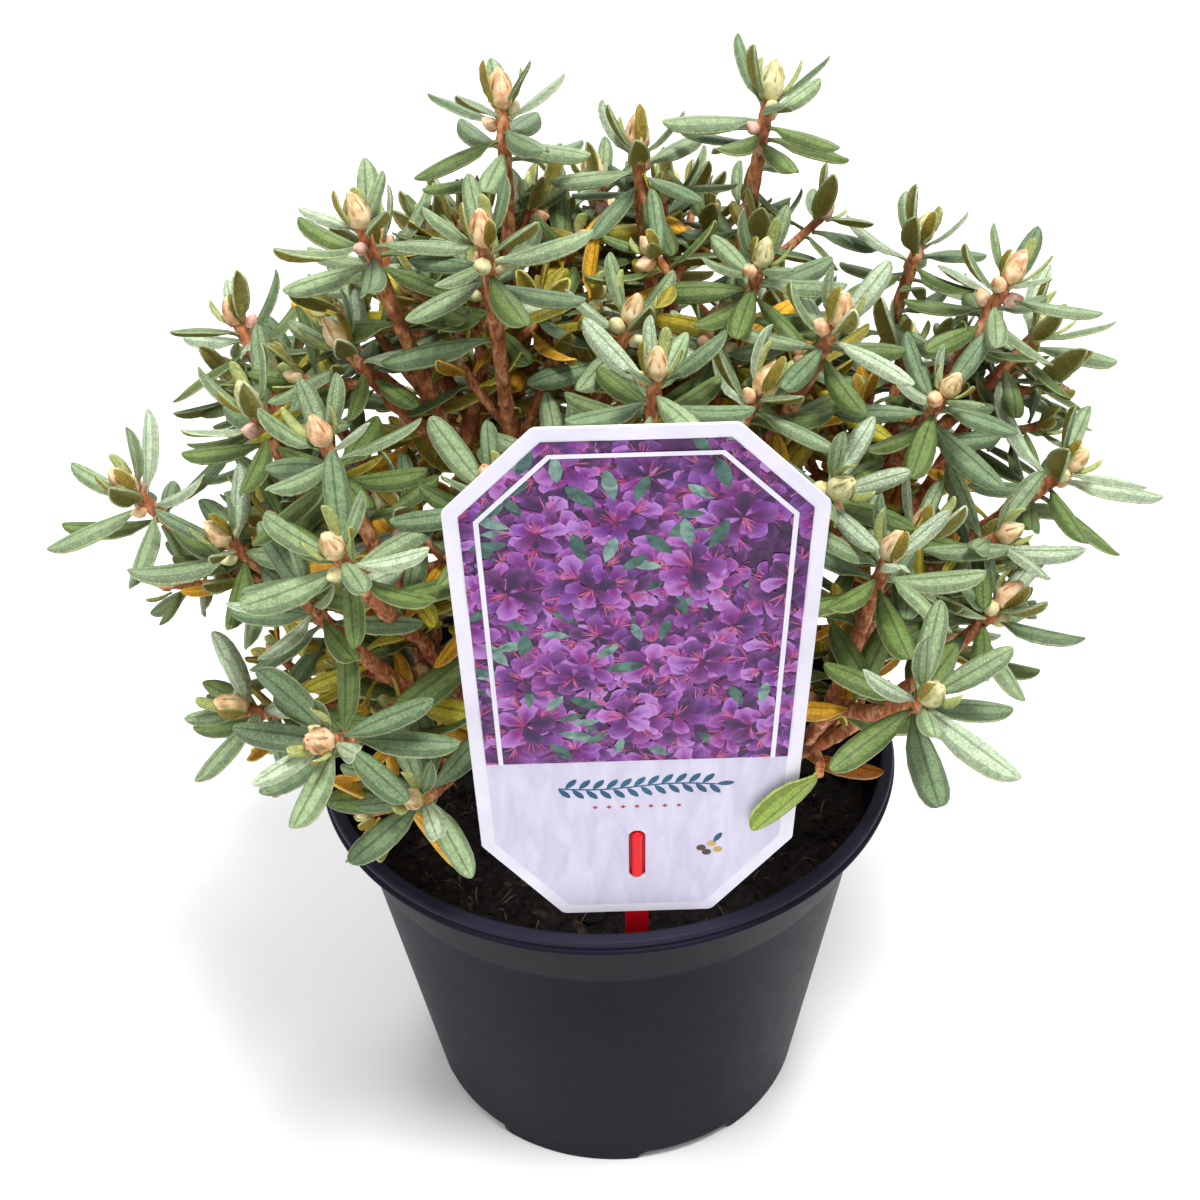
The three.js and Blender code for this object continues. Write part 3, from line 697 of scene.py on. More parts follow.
def pot_look():
    look = Look("pot_plastic", 0.46, specular=0.075)
    look.shader.inputs["Specular Tint"].default_value = (0.74, 0.74, 1, 1)
    cloud, dust = look.noise(28, 3), look.noise(160, 8, 0.6)
    base = look.ramp(cloud, [srgb(12, 10, 20), srgb(17, 15, 27)], 0.3)
    foot = POT_COLLAR_FOOT[1]
    # painted highlight: the lip is painted a lighter blue-grey, as though it caught the light
    lip = look.above((POT_HEIGHT - LIP_HIGHLIGHT_DEPTH, POT_HEIGHT - 1))
    # painted shade: from the collar's foot up the plastic is painted darker, against the light the
    # flared collar catches
    collar = look.above((foot - 1, foot + 1))
    base = look.mix(collar, base, srgb(9, 8, 15))
    base = look.mix(lip, base, srgb(37, 37, 50))
    look.colour(look.mix(look.range(dust, 0, 0.1, (0.62, 0.84)), base, srgb(98, 92, 88)))
    look.roughness(dust, 0.43, 0.49)
    look.bump((dust, 0.05, 0.3), (look.noise(2600, 2), 0.14, 0.08))
    return look.material


def soil_look(name, dark, light):
    look = Look(name, 0.95, specular=0.2)
    lumps = look.noise(420, 8, 0.4)
    look.colour(look.ramp(lumps, [dark, light]))
    look.roughness(lumps, 0.85, 1.0)
    look.bump((lumps, 0.9, 0.9), (look.noise(1900, 4), 0.6, 0.25))
    return look.material


def bark_look(name, tones, shred_tone):
    look = Look(name, 0.8, specular=0.3)
    patches = look.noise(260, 7, 0.8)
    shreds = look.noise(760, 7, 0.6, stretch=(1, 1, 0.4))
    base = look.ramp(patches, tones, 0.34, 0.68)
    look.colour(look.mix(look.range(shreds, 0.0, 0.85, (0.46, 0.64)), base, shred_tone))
    look.roughness(shreds, 0.65, 0.95)
    look.bump((patches, 0.6, 0.6), (shreds, 1.0, 0.5))
    return look.material


def leaf_look(name, tone):
    """A leaf face: mottled with fine scales, a little lighter or darker from leaf to leaf."""
    look = Look(name, 0.56, specular=0.34)
    drift, net, scales = look.noise(44, 2), look.noise(620, 4, 0.3), look.noise(2200, 4, 0.2)
    base = look.ramp(drift, [shaded(tone, 0.72), shaded(tone, 1.28)])
    base = look.mix(look.range(net, 0.6, 0, (0.34, 0.62)), base, shaded(tone, 0.46))
    look.colour(look.mix(look.range(scales, 0, 0.6, (0.46, 0.66)), base, shaded(tone, 1.6)))
    look.roughness(scales, 0.46, 0.66)
    look.bump((net, 0.6, 0.4), (scales, 0.45, 0.2))
    return look.material


def bud_look(name, tones):
    look = Look(name, 0.6, specular=0.35)
    patches = look.noise(420, 4)
    look.colour(look.ramp(patches, tones, 0.3))
    look.roughness(patches, 0.5, 0.7)
    look.bump((look.noise(1800, 4), 0.4, 0.15))
    return look.material


def varnished(name):
    """A look of card under a thin varnish, still without its colour."""
    look = Look(name, 0.4, specular=0.25, coat=0.04)
    look.roughness(look.noise(90, 2), 0.36, 0.46)
    look.bump((look.noise(3000, 2), 0.05, 0.05))
    return look


def print_look(name, tones, scale=60, stretch=None):
    """Card or ink with a faint grain."""
    look = varnished(name)
    look.colour(look.ramp(look.noise(scale, 6, 0.8, stretch), tones))
    return look.material


def petal_look():
    """Printed petals: place from throat to tip, tone and shade are carried by the mesh."""
    look = varnished("print_petals")
    depth, shade = look.attribute("depth"), look.attribute("shade")
    violet = look.ramp(depth, [srgb(128, 22, 104), srgb(104, 42, 142), srgb(158, 102, 196)], 0, 1)
    rose = look.ramp(depth, [srgb(176, 30, 100), srgb(150, 40, 134), srgb(192, 106, 186)], 0, 1)
    petal = look.mix(look.attribute("tone"), violet, rose)
    petal = look.mix(look.range(look.noise(900, 6, 1.2), 0, 0.55), petal, srgb(72, 22, 104))
    petal = look.mix(look.range(shade, 0.8, 0, (0, 0.42)), petal, srgb(196, 152, 214))
    look.colour(look.mix(look.range(shade, 0, 0.9, (0.38, 0.95)), petal, srgb(30, 14, 50)))
    return look.material


def stick_look():
    look = Look("stick_plastic", 0.4, specular=0.25)
    cloud = look.noise(70, 3)
    look.colour(look.ramp(cloud, [srgb(214, 6, 26), srgb(232, 14, 34)]))
    look.roughness(cloud, 0.34, 0.46)
    look.bump((look.noise(1400, 2), 0.06, 0.1))
    return look.material


def floor_look():
    look = Look("studio_floor", 0.7, specular=0.2)
    look.colour(look.ramp(look.noise(6, 3), [(0.86, 0.86, 0.86, 1), (0.9, 0.9, 0.9, 1)]))
    return look.material


# ---------------------------------------------------------------- camera, light and floor


def make_camera():
    elevation, roll = math.radians(CAMERA_ELEVATION), math.radians(CAMERA_ROLL)
    ahead = np.array([0, math.cos(elevation), -math.sin(elevation)])
    level_up = np.array([0, math.sin(elevation), math.cos(elevation)])
    level_right = np.array([1.0, 0, 0])
    right = level_right * math.cos(roll) + level_up * math.sin(roll)
    up = level_up * math.cos(roll) - level_right * math.sin(roll)
    data = bpy.data.cameras.new("camera")
    data.sensor_width = SENSOR_WIDTH
    data.lens = SENSOR_WIDTH * FOCAL_PIXELS / IMAGE_PIXELS
    data.clip_start = 0.01
    camera = linked("camera", data)
    place = np.array(CAMERA_TARGET) - ahead * CAMERA_DISTANCE
    turn = Matrix([right, up, -ahead]).transposed().to_4x4()
    camera.matrix_world = Matrix.Translation(Vector(place * MM)) @ turn
    bpy.context.scene.camera = camera
    return place


def add_light(name, place, size, power):
    data = bpy.data.lights.new(name, "AREA")
    data.shape = "DISK"
    data.size = size
    data.energy = power
    lamp = linked(name, data)
    lamp.location = place
    ahead = Vector(LIGHT_TARGET) - Vector(place)
    lamp.rotation_euler = ahead.to_track_quat("-Z", "Y").to_euler()


def make_studio():
    world = bpy.data.worlds.new("studio")
    world.use_nodes = True
    background = world.node_tree.nodes["Background"]
    background.inputs["Color"].default_value = SKY_COLOUR
    background.inputs["Strength"].default_value = SKY_STRENGTH
    bpy.context.scene.world = world
    bpy.context.scene.view_settings.view_transform = "Standard"
    for name, (place, size, power) in LIGHTS.items():
        add_light(name, place, size, power)
    heap = Heap()
    square = rectangle(-FLOOR_HALF, -FLOOR_HALF, FLOOR_HALF, FLOOR_HALF)
    heap.add([(*corner, 0) for corner in square], [[(0, 1, 2, 3)]], [0])
    linked("floor", heap.mesh("floor", [floor_look()]))


# ---------------------------------------------------------------- pot


def drain_azimuths():
    return [DRAIN_FIRST_AZIMUTH + i * 360 / DRAIN_COUNT for i in range(DRAIN_COUNT)]


def drain_lift(radii, angles):
    """How far the recesses lift the pot's underside and the foot of its wall."""
    lift = np.zeros(np.broadcast_shapes(radii.shape, angles.shape))
    for azimuth in drain_azimuths():
        turn = angles - math.radians(azimuth)
        aside = np.abs(radii * np.sin(turn))
        width = smooth_step((DRAIN_WIDTH / 2 - aside) / DRAIN_SOFTNESS + 0.5)
        inner = smooth_step((radii * np.cos(turn) - DRAIN_INNER_RADIUS) / DRAIN_SOFTNESS + 0.5)
        lift = np.maximum(lift, DRAIN_LIFT * width * inner)
    return lift


def wall_radius(height):
    return POT_BASE_RADIUS + (POT_SHOULDER_RADIUS - POT_BASE_RADIUS) * height / POT_SHOULDER_HEIGHT


def arc(centre, radius, start, end, steps):
    angles = np.radians(np.linspace(start, end, steps))
    return [(centre[0] + radius * math.cos(a), centre[1] + radius * math.sin(a)) for a in angles]


def rim_profile():
    """The lip from its outer foot over its crest to its inner foot: a bead, a groove, a crest."""
    top = POT_HEIGHT
    return [
        *arc((POT_RADIUS - 0.9, top - 4.0), 0.9, -80, 60, 7),
        (POT_RADIUS - 1.2, top - 2.9),
        *arc((POT_RADIUS - 1.7, top - 1.6), 1.2, -15, 80, 7),
        (POT_RADIUS - 2.6, top - 0.3),
        (POT_RADIUS - 3.2, top),
        (POT_RADIUS - 3.9, top - 0.25),
        (POT_RADIUS - 4.3, top - 1.0),
    ]


def make_pot():
    wall = [(wall_radius(h), h) for h in WALL_HEIGHTS]
    collar_foot, collar_top = np.array(POT_COLLAR_FOOT), np.array(POT_COLLAR_TOP)
    collar = [tuple(collar_foot + (collar_top - collar_foot) * s) for s in (0, 0.06, 0.3, 0.6, 0.97, 1)]
    outer = [
        *wall,
        (POT_SHOULDER_RADIUS - 0.05, POT_SHOULDER_HEIGHT - 0.4),
        (POT_SHOULDER_RADIUS + 0.3, POT_SHOULDER_HEIGHT + 0.2),
        *collar,
    ]
    underside = [(r, 0.0) for r in FLOOR_RADII]
    inner = [(r - POT_WALL, h) for r, h in reversed(outer) if h > SOIL_UNDERSIDE]
    inner_floor = [(r - POT_WALL, POT_FLOOR) for r in FLOOR_RADII]
    profile = [
        (0, 0), *reversed(underside), *outer, *rim_profile(), *inner, *inner_floor, (0, POT_FLOOR)]

    def height_at(radii, heights, angles):
        lift = drain_lift(radii, angles)
        floor_top = np.abs(heights - POT_FLOOR) < 1e-6
        return np.where(floor_top, POT_FLOOR + lift, np.maximum(heights, lift))

    heap = Heap()
    add_lathe(heap, profile, POT_SIDES, height_at)
    made = heap.piece("pot_shell", [pot_look()], "pot_plastic", ["pot"])
    cut_drain_holes(made)


def cut_drain_holes(shell):
    """Round holes through the roofs of the drain recesses."""
    heap = Heap()
    for azimuth in drain_azimuths():
        foot = polar(azimuth, DRAIN_HOLE_PLACE, DRAIN_LIFT - CUTTER_DEPTH)
        line = [foot, foot + UP * CUTTER_HEIGHT / 2, foot + UP * CUTTER_HEIGHT]
        add_tube(heap, line, np.full(len(line), DRAIN_HOLE_RADIUS), DRAIN_HOLE_SIDES)
    cutter = linked("cutter", heap.mesh("cutter", []))
    modifier = shell.modifiers.new("holes", "BOOLEAN")
    modifier.operation = "DIFFERENCE"
    modifier.solver = "EXACT"
    modifier.object = cutter
    bpy.context.view_layer.update()
    solved = shell.evaluated_get(bpy.context.evaluated_depsgraph_get())
    mesh = bpy.data.meshes.new_from_object(solved)
    shell.modifiers.clear()
    shell.data = mesh
    bpy.data.objects.remove(cutter)


# ---------------------------------------------------------------- soil


def soil_radius():
    """The pot's inner radius at the soil's surface."""
    (foot_radius, foot_height), (top_radius, top_height) = POT_COLLAR_FOOT, POT_COLLAR_TOP
    share = (SOIL_LEVEL - foot_height) / (top_height - foot_height)
    return foot_radius + (top_radius - foot_radius) * share - POT_WALL


def soil_height(x, y):
    """A bumpy surface that rises a little round the trunk and sinks towards the wall."""
    rough = noise.fractal(Vector((x / 17, y / 17, 3.1)), 1.0, 2.0, 4) * 1.5
    fine = noise.fractal(Vector((x / 3.2, y / 3.2, 8.7)), 0.8, 2.1, 3) * 0.8
    reach = math.hypot(x, y) / soil_radius()
    return SOIL_LEVEL - 0.6 + rough + fine + 1.6 * (1 - reach) - 1.2 * reach ** 6


def make_soil():
    """The soil's body with a rough surface, and the crumbs and fibres on it."""
    circle = [(math.cos(a), math.sin(a)) for a in np.arange(SOIL_SIDES) * 2 * math.pi / SOIL_SIDES]
    inner = [wall_radius(h) - POT_WALL - CLEARANCE for h in (SOIL_UNDERSIDE, SOIL_SHOULDER)]
    buried = ((inner[0] / 2, SOIL_UNDERSIDE), (inner[0], SOIL_UNDERSIDE), (inner[1], SOIL_SHOULDER))
    rings = [[(x * radius, y * radius, height) for x, y in circle] for radius, height in buried]
    for radius in (soil_radius() - 0.1) * np.linspace(1, 1 / SOIL_RINGS, SOIL_RINGS) ** 0.9:
        rings.append([(x * radius, y * radius, soil_height(x * radius, y * radius)) for x, y in circle])
    heap = Heap()
    add_loft(heap, np.array(rings), np.array([[0, 0, SOIL_UNDERSIDE], [0, 0, soil_height(0, 0)]]))
    peat = soil_look("soil_peat", srgb(9, 8, 9), srgb(46, 40, 39))
    brown = soil_look("soil_brown", srgb(30, 24, 21), srgb(86, 72, 62))
    fibre = soil_look("soil_fibre", srgb(76, 64, 52), srgb(140, 122, 100))
    heap.piece("soil_body", [peat], "soil", ["soil"])
    make_crumbs([peat, brown])
    make_fibres([brown, fibre])


def soil_spot(index, salt, margin):
    """A place on the soil, spread evenly by chance."""
    reach = (soil_radius() - margin) * math.sqrt(chance(index, salt))
    spot = polar(360 * chance(index, salt + 1), reach, 0)
    spot[2] = soil_height(spot[0], spot[1])
    return spot


def lump_template(subdivisions):
    """Points and faces of a ball: 20 faces, or 80 when it is divided once more."""
    ball = bmesh.new()
    bmesh.ops.create_icosphere(ball, subdivisions=subdivisions, radius=1)
    points = np.array([vertex.co for vertex in ball.verts])
    faces = np.array([[vertex.index for vertex in face.verts] for face in ball.faces])
    ball.free()
    return points, faces


def make_crumbs(looks):
    """Lumps of peat and chips of bark that lie on the soil."""
    templates = lump_template(1), lump_template(2)
    heap = Heap()
    for i in range(CRUMB_COUNT):
        size = between(CRUMB_RADIUS, chance(i, 3) ** 3)
        points, faces = templates[int(size > 0.9)]
        stretch = np.array([drawn(ends, i, 4 + axis) for axis, ends in enumerate(CRUMB_STRETCH)])
        rough = np.array([noise.noise(Vector(p * 1.7) + Vector((i * 3.3, 0, 0))) for p in points])
        lump = points * (1 + CRUMB_ROUGHNESS * rough[:, None]) * stretch * size
        turn = Matrix.Rotation(6.28 * chance(i, 7), 3, "Z") @ Matrix.Rotation(0.7 * chance(i, 8), 3, "X")
        spot = soil_spot(i, 9, 2 + 2 * size)
        heap.add(lump @ np.array(turn).T + spot, [faces], [int(chance(i, 11) > 0.8)])
    heap.piece("soil_crumbs", looks, "soil")


def make_fibres(looks):
    """Short curved fibres and rootlets on the soil's surface."""
    heap = Heap()
    thickness = np.array([0.5, 0.9, 1, 1, 0.9, 0.7, 0.4])
    steps = len(thickness)
    for i in range(FIBRE_COUNT):
        here = soil_spot(i, 21, 9)[:2]
        length = between(FIBRE_LENGTH, chance(i, 23) ** 2)
        angle = 2 * math.pi * chance(i, 24)
        curl = drawn(FIBRE_CURL, i, 25)
        line = []
        for step in range(steps):
            lift = 0.25 + 1.5 * chance(i, 26) * math.sin(math.pi * step / (steps - 1))
            line.append((*here, soil_height(*here) + lift))
            angle += curl / steps
            here = here + heading(angle)[0] * length / steps
        add_tube(heap, line, drawn(FIBRE_RADIUS, i, 27) * thickness, 4, int(chance(i, 28) > 0.45))
    heap.piece("soil_fibres", looks, "soil")


# ---------------------------------------------------------------- label


def card_matrix():
    """From the card's own axes (x across, y up the stick, z to the front) to the frame's."""
    stand = Matrix.Rotation(math.radians(90 + CARD_LEAN), 3, "X")
    return np.array(stand @ Matrix.Rotation(math.radians(CARD_TURN), 3, "Z"))


CARD_AXES = card_matrix()


def from_card(points):
    return np.asarray(points, float) @ CARD_AXES.T + np.array(CARD_FOOT)


def to_card(points):
    return (np.asarray(points, float) - np.array(CARD_FOOT)) @ CARD_AXES


def card_outline():
    right = [
        (CARD_FOOT_END / 2, CARD_LOW), (CARD_FOOT_WIDTH / 2, CARD_LOW + CARD_FOOT_CUT),
        (CARD_WIDTH / 2, CARD_HIGH - CARD_TOP_CUT), (CARD_TOP_END / 2, CARD_HIGH)]
    return right + [(-x, y) for x, y in reversed(right)]


def capsule(half_width, low, high):
    """An upright slot with round ends."""
    foot = arc((0, low + half_width), half_width, 180, 360, 9)
    return foot + arc((0, high - half_width), half_width, 0, 180, 9)


def edges_of(outline):
    """Each edge's start and inward direction, for an outline that runs anticlockwise."""
    for i, start in enumerate(outline):
        step = np.subtract(outline[(i + 1) % len(outline)], start)
        yield np.array(start, float), unit(np.array([-step[1], step[0]], float))


def clip(polygon, outline, inset=0.0):
    """A convex polygon cut to a convex outline. Values past x and y are carried along."""
    polygon = [np.array(p, float) for p in polygon]
    for start, inward in edges_of(outline):
        sides = [np.dot(p[:2] - start, inward) - inset for p in polygon]
        kept = []
        for i, (point, side) in enumerate(zip(polygon, sides)):
            ahead, ahead_side = polygon[(i + 1) % len(polygon)], sides[(i + 1) % len(polygon)]
            if side >= 0:
                kept.append(point)
            if (side >= 0) != (ahead_side >= 0):
                kept.append(point + (ahead - point) * side / (side - ahead_side))
        polygon = kept
    return polygon if len(polygon) > 2 else []


def rounded(outline, radius):
    """A convex outline with its corners rounded."""
    smooth = []
    for i, corner in enumerate(np.array(outline, float)):
        before = unit(np.array(outline[i - 1]) - corner)
        after = unit(np.array(outline[(i + 1) % len(outline)]) - corner)
        reach = radius / math.tan(math.acos(np.dot(before, after)) / 2)
        for t in np.linspace(0, 1, 5):
            smooth.append(corner + reach * (before * (1 - t) ** 2 + after * t * t))
    return smooth


def plate_mesh(name, outlines, back, front, bevel, look):
    """A flat body in the card's axes. Outlines after the first are holes in it."""
    curve = bpy.data.curves.new(name, "CURVE")
    curve.dimensions = "2D"
    curve.fill_mode = "BOTH"
    curve.extrude = (front - back) / 2 - bevel
    curve.bevel_depth = bevel
    curve.bevel_resolution = 2
    curve.offset = -bevel
    for outline in outlines:
        spline = curve.splines.new("POLY")
        spline.points.add(len(outline) - 1)
        spline.points.foreach_set("co", [c for x, y in outline for c in (x, y, 0, 1)])
        spline.use_cyclic_u = True
    drawn = bpy.data.objects.new(name, curve)
    mesh = bpy.data.meshes.new_from_object(drawn)
    bpy.data.objects.remove(drawn)
    stand = Matrix(CARD_AXES * MM).to_4x4()
    stand.translation = Vector(from_card((0, 0, (front + back) / 2)) * MM)
    mesh.transform(stand)
    mesh.materials.clear()
    mesh.materials.append(look)
    return mesh


def make_card(paper):
    slot = capsule(SLOT_WIDTH / 2, SLOT_LOW, SLOT_HIGH)
    outlines = [rounded(card_outline(), CARD_ROUNDING), slot]
    back = CARD_FRONT - CARD_THICKNESS
    mesh = plate_mesh("label_card_body", outlines, back, CARD_FRONT, CARD_BEVEL, paper)
    piece("label_card_body", mesh, ["label_card"])


def make_stick():
    """The flat stick, pointed in the soil, and the tongue that comes through the slot."""
    look = stick_look()
    half, point, shoulder = STICK_WIDTH / 2, STICK_POINT / 2, STICK_LOW + STICK_TAPER
    shaft = [(-half, shoulder), (-point, STICK_LOW), (point, STICK_LOW), (half, shoulder),
             *arc((0, STICK_HIGH - half), half, 0, 180, 9)]
    mesh = plate_mesh("label_stick_body", [shaft], STICK_BACK, STICK_FRONT, STICK_BEVEL, look)
    piece("label_stick_body", mesh, ["label_stick"])
    tongue = capsule(SLOT_WIDTH / 2 - TONGUE_ROOM, SLOT_LOW + TONGUE_ROOM, SLOT_HIGH - TONGUE_ROOM)
    root, top = STICK_FRONT - TONGUE_RISE, CARD_FRONT + TONGUE_RISE
    mesh = plate_mesh("label_stick_tongue", [tongue], root, top, TONGUE_BEVEL, look)
    piece("label_stick_tongue", mesh)


# The card's print is thin flat layers, each a hair above the last: first the grounds at PRINT_LIFT
# over the card, then the inks from INK_LIFT on. A petal's outline holds shares of its length and its
# half width, a leaf's outline only shares of its length. A petal's tone and shade run from 0 to 1.
PRINT_LIFT = 0.02
INK_LIFT = 0.04
LEAF_INK_LIFT = 0.045
PRINT_BORDER = 3.4
PRINT_LOW = 78
FRAME_INSET = 6.4
FRAME_WIDTH = 1.1
LAYER = 0.0012
HEAD_PITCH = 15
HEAD_REACH = 8.6
HEAD_BLOSSOMS = 8
HEAD_TURNS = 3
PETAL_LENGTH = 7
PETAL_SIZES = (0.82, 1.18)
PETAL_WIDTH = 0.62
PETAL_TONES = (0.15, 0.85)
PETAL_SHADES = (0.08, 0.83)
PETAL_SWEEP = (-0.15, 0.15)
BLOSSOM_PETALS = 5
BLOSSOM_THREADS = 6
SPRIG_HEIGHT = 68.5
SPRIG_REACH = 19
SPRIG_LEAF = 4.6
DOT_PITCH = 3.4
DOT_HEIGHT = 61
DOT_RADIUS = 0.7
BERRIES = ((16, 44), (18.6, 45.6), (17.4, 42.2), (20.2, 43.2))
BERRY_RADIUS = 1.2
BERRY_LEAF = 4.4
BERRY_LEAF_FOOT = (19, 46)
PETAL_OUTLINE = (
    (0, 0.1), (0.2, 0.3), (0.42, 0.72), (0.64, 1.0), (0.82, 0.96), (0.94, 0.6), (1, 0.14))
LEAF_OUTLINE = (
    (0, 0), (0.3, -0.15), (0.6, -0.19), (0.85, -0.12), (1, 0), (0.85, 0.12), (0.6, 0.19), (0.3, 0.15))


def picture_outline(inset):
    """The picture's outline: the card's, drawn in and cut off level at its foot."""
    return clip(rectangle(-CARD_WIDTH, PRINT_LOW, CARD_WIDTH, CARD_HIGH), card_outline(), inset)


class Ink(Heap):
    """Printed shapes of one kind, cut to an outline."""

    def __init__(self, outline):
        super().__init__()
        self.outline = outline

    def paint(self, polygon, depth, kind=0):
        """A convex polygon of (x, y) or, with values for its shader, (x, y, a, b, c)."""
        cut = clip(polygon, self.outline)
        if cut:
            points = from_card([(p[0], p[1], CARD_FRONT + depth) for p in cut])
            fan = [(0, i, i + 1) for i in range(1, len(cut) - 1)]
            self.add(points, [fan], [kind], [p[2:] for p in cut])

    def leaf(self, foot, angle, length, depth, kind=0):
        along, left = heading(angle)
        self.paint([foot + (along * a + left * b) * length for a, b in LEAF_OUTLINE], depth, kind)

    def printed(self, name, looks):
        return self.piece(name, looks, "label_card", smooth=False)


def shaken_grid(pitch, salt):
    """Places over the picture on a shaken grid, each with its turn: near neighbours differ in it."""
    spots = []
    for row in range(int((CARD_HIGH - PRINT_LOW) / pitch) + 2):
        for column in range(int(CARD_WIDTH / pitch) + 2):
            index = row * 16 + column
            turn = row * 2 % HEAD_TURNS * HEAD_TURNS + column % HEAD_TURNS
            shake = np.array([chance(index, salt), chance(index, salt + 1)]) - 0.5
            grid = np.array([column + 0.5 * (row % 2) - CARD_WIDTH / pitch / 2 - 0.2, row])
            spots.append((index, turn, (grid + shake * 0.6) * pitch + (0, PRINT_LOW)))
    return spots


def paint_petal(ink, centre, angle, length, width, squash, seed, depth):
    """One petal: a curved strip with a crease along its middle and a wavy edge."""
    along, left = heading(angle)
    lean, factor = squash
    tone, shade = drawn(PETAL_TONES, seed, 31), drawn(PETAL_SHADES, seed, 32)
    sweep = drawn(PETAL_SWEEP, seed, 33)

    def corner(row, side):
        u, spread = PETAL_OUTLINE[row]
        wave = 1 + 0.2 * math.sin(14 * u + 6 * chance(seed, 34) + side)
        place = along * u * length
        place = place + left * (side * spread * wave * width / 2 + sweep * length * u * u)
        place = place - lean * np.dot(place, lean) * (1 - factor)
        crease = 0.3 * (1 - abs(side)) * (1 - 0.5 * u)
        return (*(centre + place), u, tone, min(1, shade + crease + 0.25 * (1 - u) ** 3))

    for row in range(len(PETAL_OUTLINE) - 1):
        for right, other in ((-1, 0), (0, 1)):
            ink.paint([corner(row, right), corner(row + 1, right), corner(row + 1, other),
                       corner(row, other)], depth)


def paint_blossom(petals, stamens, centre, lean, factor, seed, depth):
    """A blossom that leans away from its head's middle: its petals are squashed by the factor."""
    length = PETAL_LENGTH * drawn(PETAL_SIZES, seed, 35)
    first = 2 * math.pi * chance(seed, 36)
    squash = (heading(lean)[0], factor)
    for petal in range(BLOSSOM_PETALS):
        mark = seed * BLOSSOM_PETALS + petal
        angle = first + petal * 2 * math.pi / BLOSSOM_PETALS + 0.35 * (chance(mark, 37) - 0.5)
        paint_petal(petals, centre, angle, length, length * PETAL_WIDTH, squash, mark,
                    depth + petal * LAYER / BLOSSOM_PETALS)
    top = depth + LAYER * 1.2
    for thread in range(BLOSSOM_THREADS):
        mark = seed * BLOSSOM_THREADS + thread
        along, left = heading(lean + 1.5 * (chance(mark, 38) - 0.5))
        tip = centre + along * length * (0.35 + 0.3 * chance(mark, 39))
        foot, end, side = left * 0.15, left * 0.08, left * 0.22
        stamens.paint([centre - foot, tip - end, tip + end, centre + foot], top)
        stamens.paint([tip - side, tip + along * 0.5, tip + side, tip - along * 0.2], top, 1)


def make_picture():
    """Heads of generic purple blossoms with pale leaves between them. Returns the top's depth."""
    outline = picture_outline(PRINT_BORDER)
    ground, petals, stamens, leaves = [Ink(outline) for _ in range(4)]
    ground.paint(outline, PRINT_LIFT)
    step = 2 * LAYER
    head_height = (HEAD_BLOSSOMS + 2) * step
    for index, turn, spot in shaken_grid(HEAD_PITCH, 41):
        depth = INK_LIFT + turn * head_height
        for i in reversed(range(HEAD_BLOSSOMS)):
            depth += step
            lean = golden_turn(i) + 6 * chance(index, 44)
            share = math.sqrt((i + 0.2) / HEAD_BLOSSOMS)
            centre = spot + heading(lean)[0] * HEAD_REACH * share
            paint_blossom(petals, stamens, centre, lean, 1 - 0.45 * share, index * 7 + i, depth)
        for i in range(int(6 * chance(index, 45))):
            angle = 2 * math.pi * chance(index, 46) + 0.6 * i
            foot = spot + heading(angle)[0] * HEAD_REACH * 0.8
            length = 6 + 3 * chance(index + i, 47)
            leaves.leaf(foot, angle, length, depth + LAYER * (1 + i / 8), i % 2)
    ground.printed("label_print_ground", [
        print_look("print_ground", [srgb(34, 16, 46), srgb(84, 40, 92)], 420)])
    stamens.printed("label_print_stamens", [
        print_look("print_threads", [srgb(168, 54, 110), srgb(206, 112, 150)], 240),
        print_look("print_anthers", [srgb(88, 44, 60), srgb(150, 96, 92)], 240)])
    leaves.printed("label_print_leaves", [
        print_look("print_sage", [srgb(30, 54, 54), srgb(84, 120, 108)], 320),
        print_look("print_pale", [srgb(62, 92, 88), srgb(134, 164, 152)], 320)])
    made = petals.printed("label_print_petals", [petal_look()])
    for column, name in enumerate(("depth", "tone", "shade")):
        values = np.concatenate(petals.values)[:, column]
        made.data.attributes.new(name, "FLOAT", "POINT").data.foreach_set("value", values)
    return INK_LIFT + (HEAD_TURNS ** 2 + 1) * head_height


def make_frame_line(paper, depth):
    """The white line inside the picture, open at its foot."""
    line = Ink(picture_outline(0))
    outer, inner = picture_outline(FRAME_INSET), picture_outline(FRAME_INSET + FRAME_WIDTH)
    for i, start in enumerate(outer):
        after = (i + 1) % len(outer)
        if max(start[1], outer[after][1]) > PRINT_LOW + 0.1:
            line.paint([start, outer[after], inner[after], inner[i]], depth)
    line.printed("label_print_frame", [paper])


def make_panel():
    """The pale panel under the picture, with a plain sprig and dots instead of words."""
    panel = Ink(clip(rectangle(-CARD_WIDTH, 0, CARD_WIDTH, PRINT_LOW), card_outline(), PRINT_BORDER))
    half = SLOT_WIDTH / 2
    for low_x, low_y, high_x, high_y in (
            (-CARD_WIDTH, 0, -half, PRINT_LOW), (half, 0, CARD_WIDTH, PRINT_LOW),
            (-half, 0, half, SLOT_LOW), (-half, SLOT_HIGH, half, PRINT_LOW)):
        panel.paint(rectangle(low_x, low_y, high_x, high_y), PRINT_LIFT)
    panel.printed("label_panel", [
        print_look("panel_paper", [srgb(206, 202, 221), srgb(188, 183, 206)], 60, (4, 1, 1))])
    make_sprig()


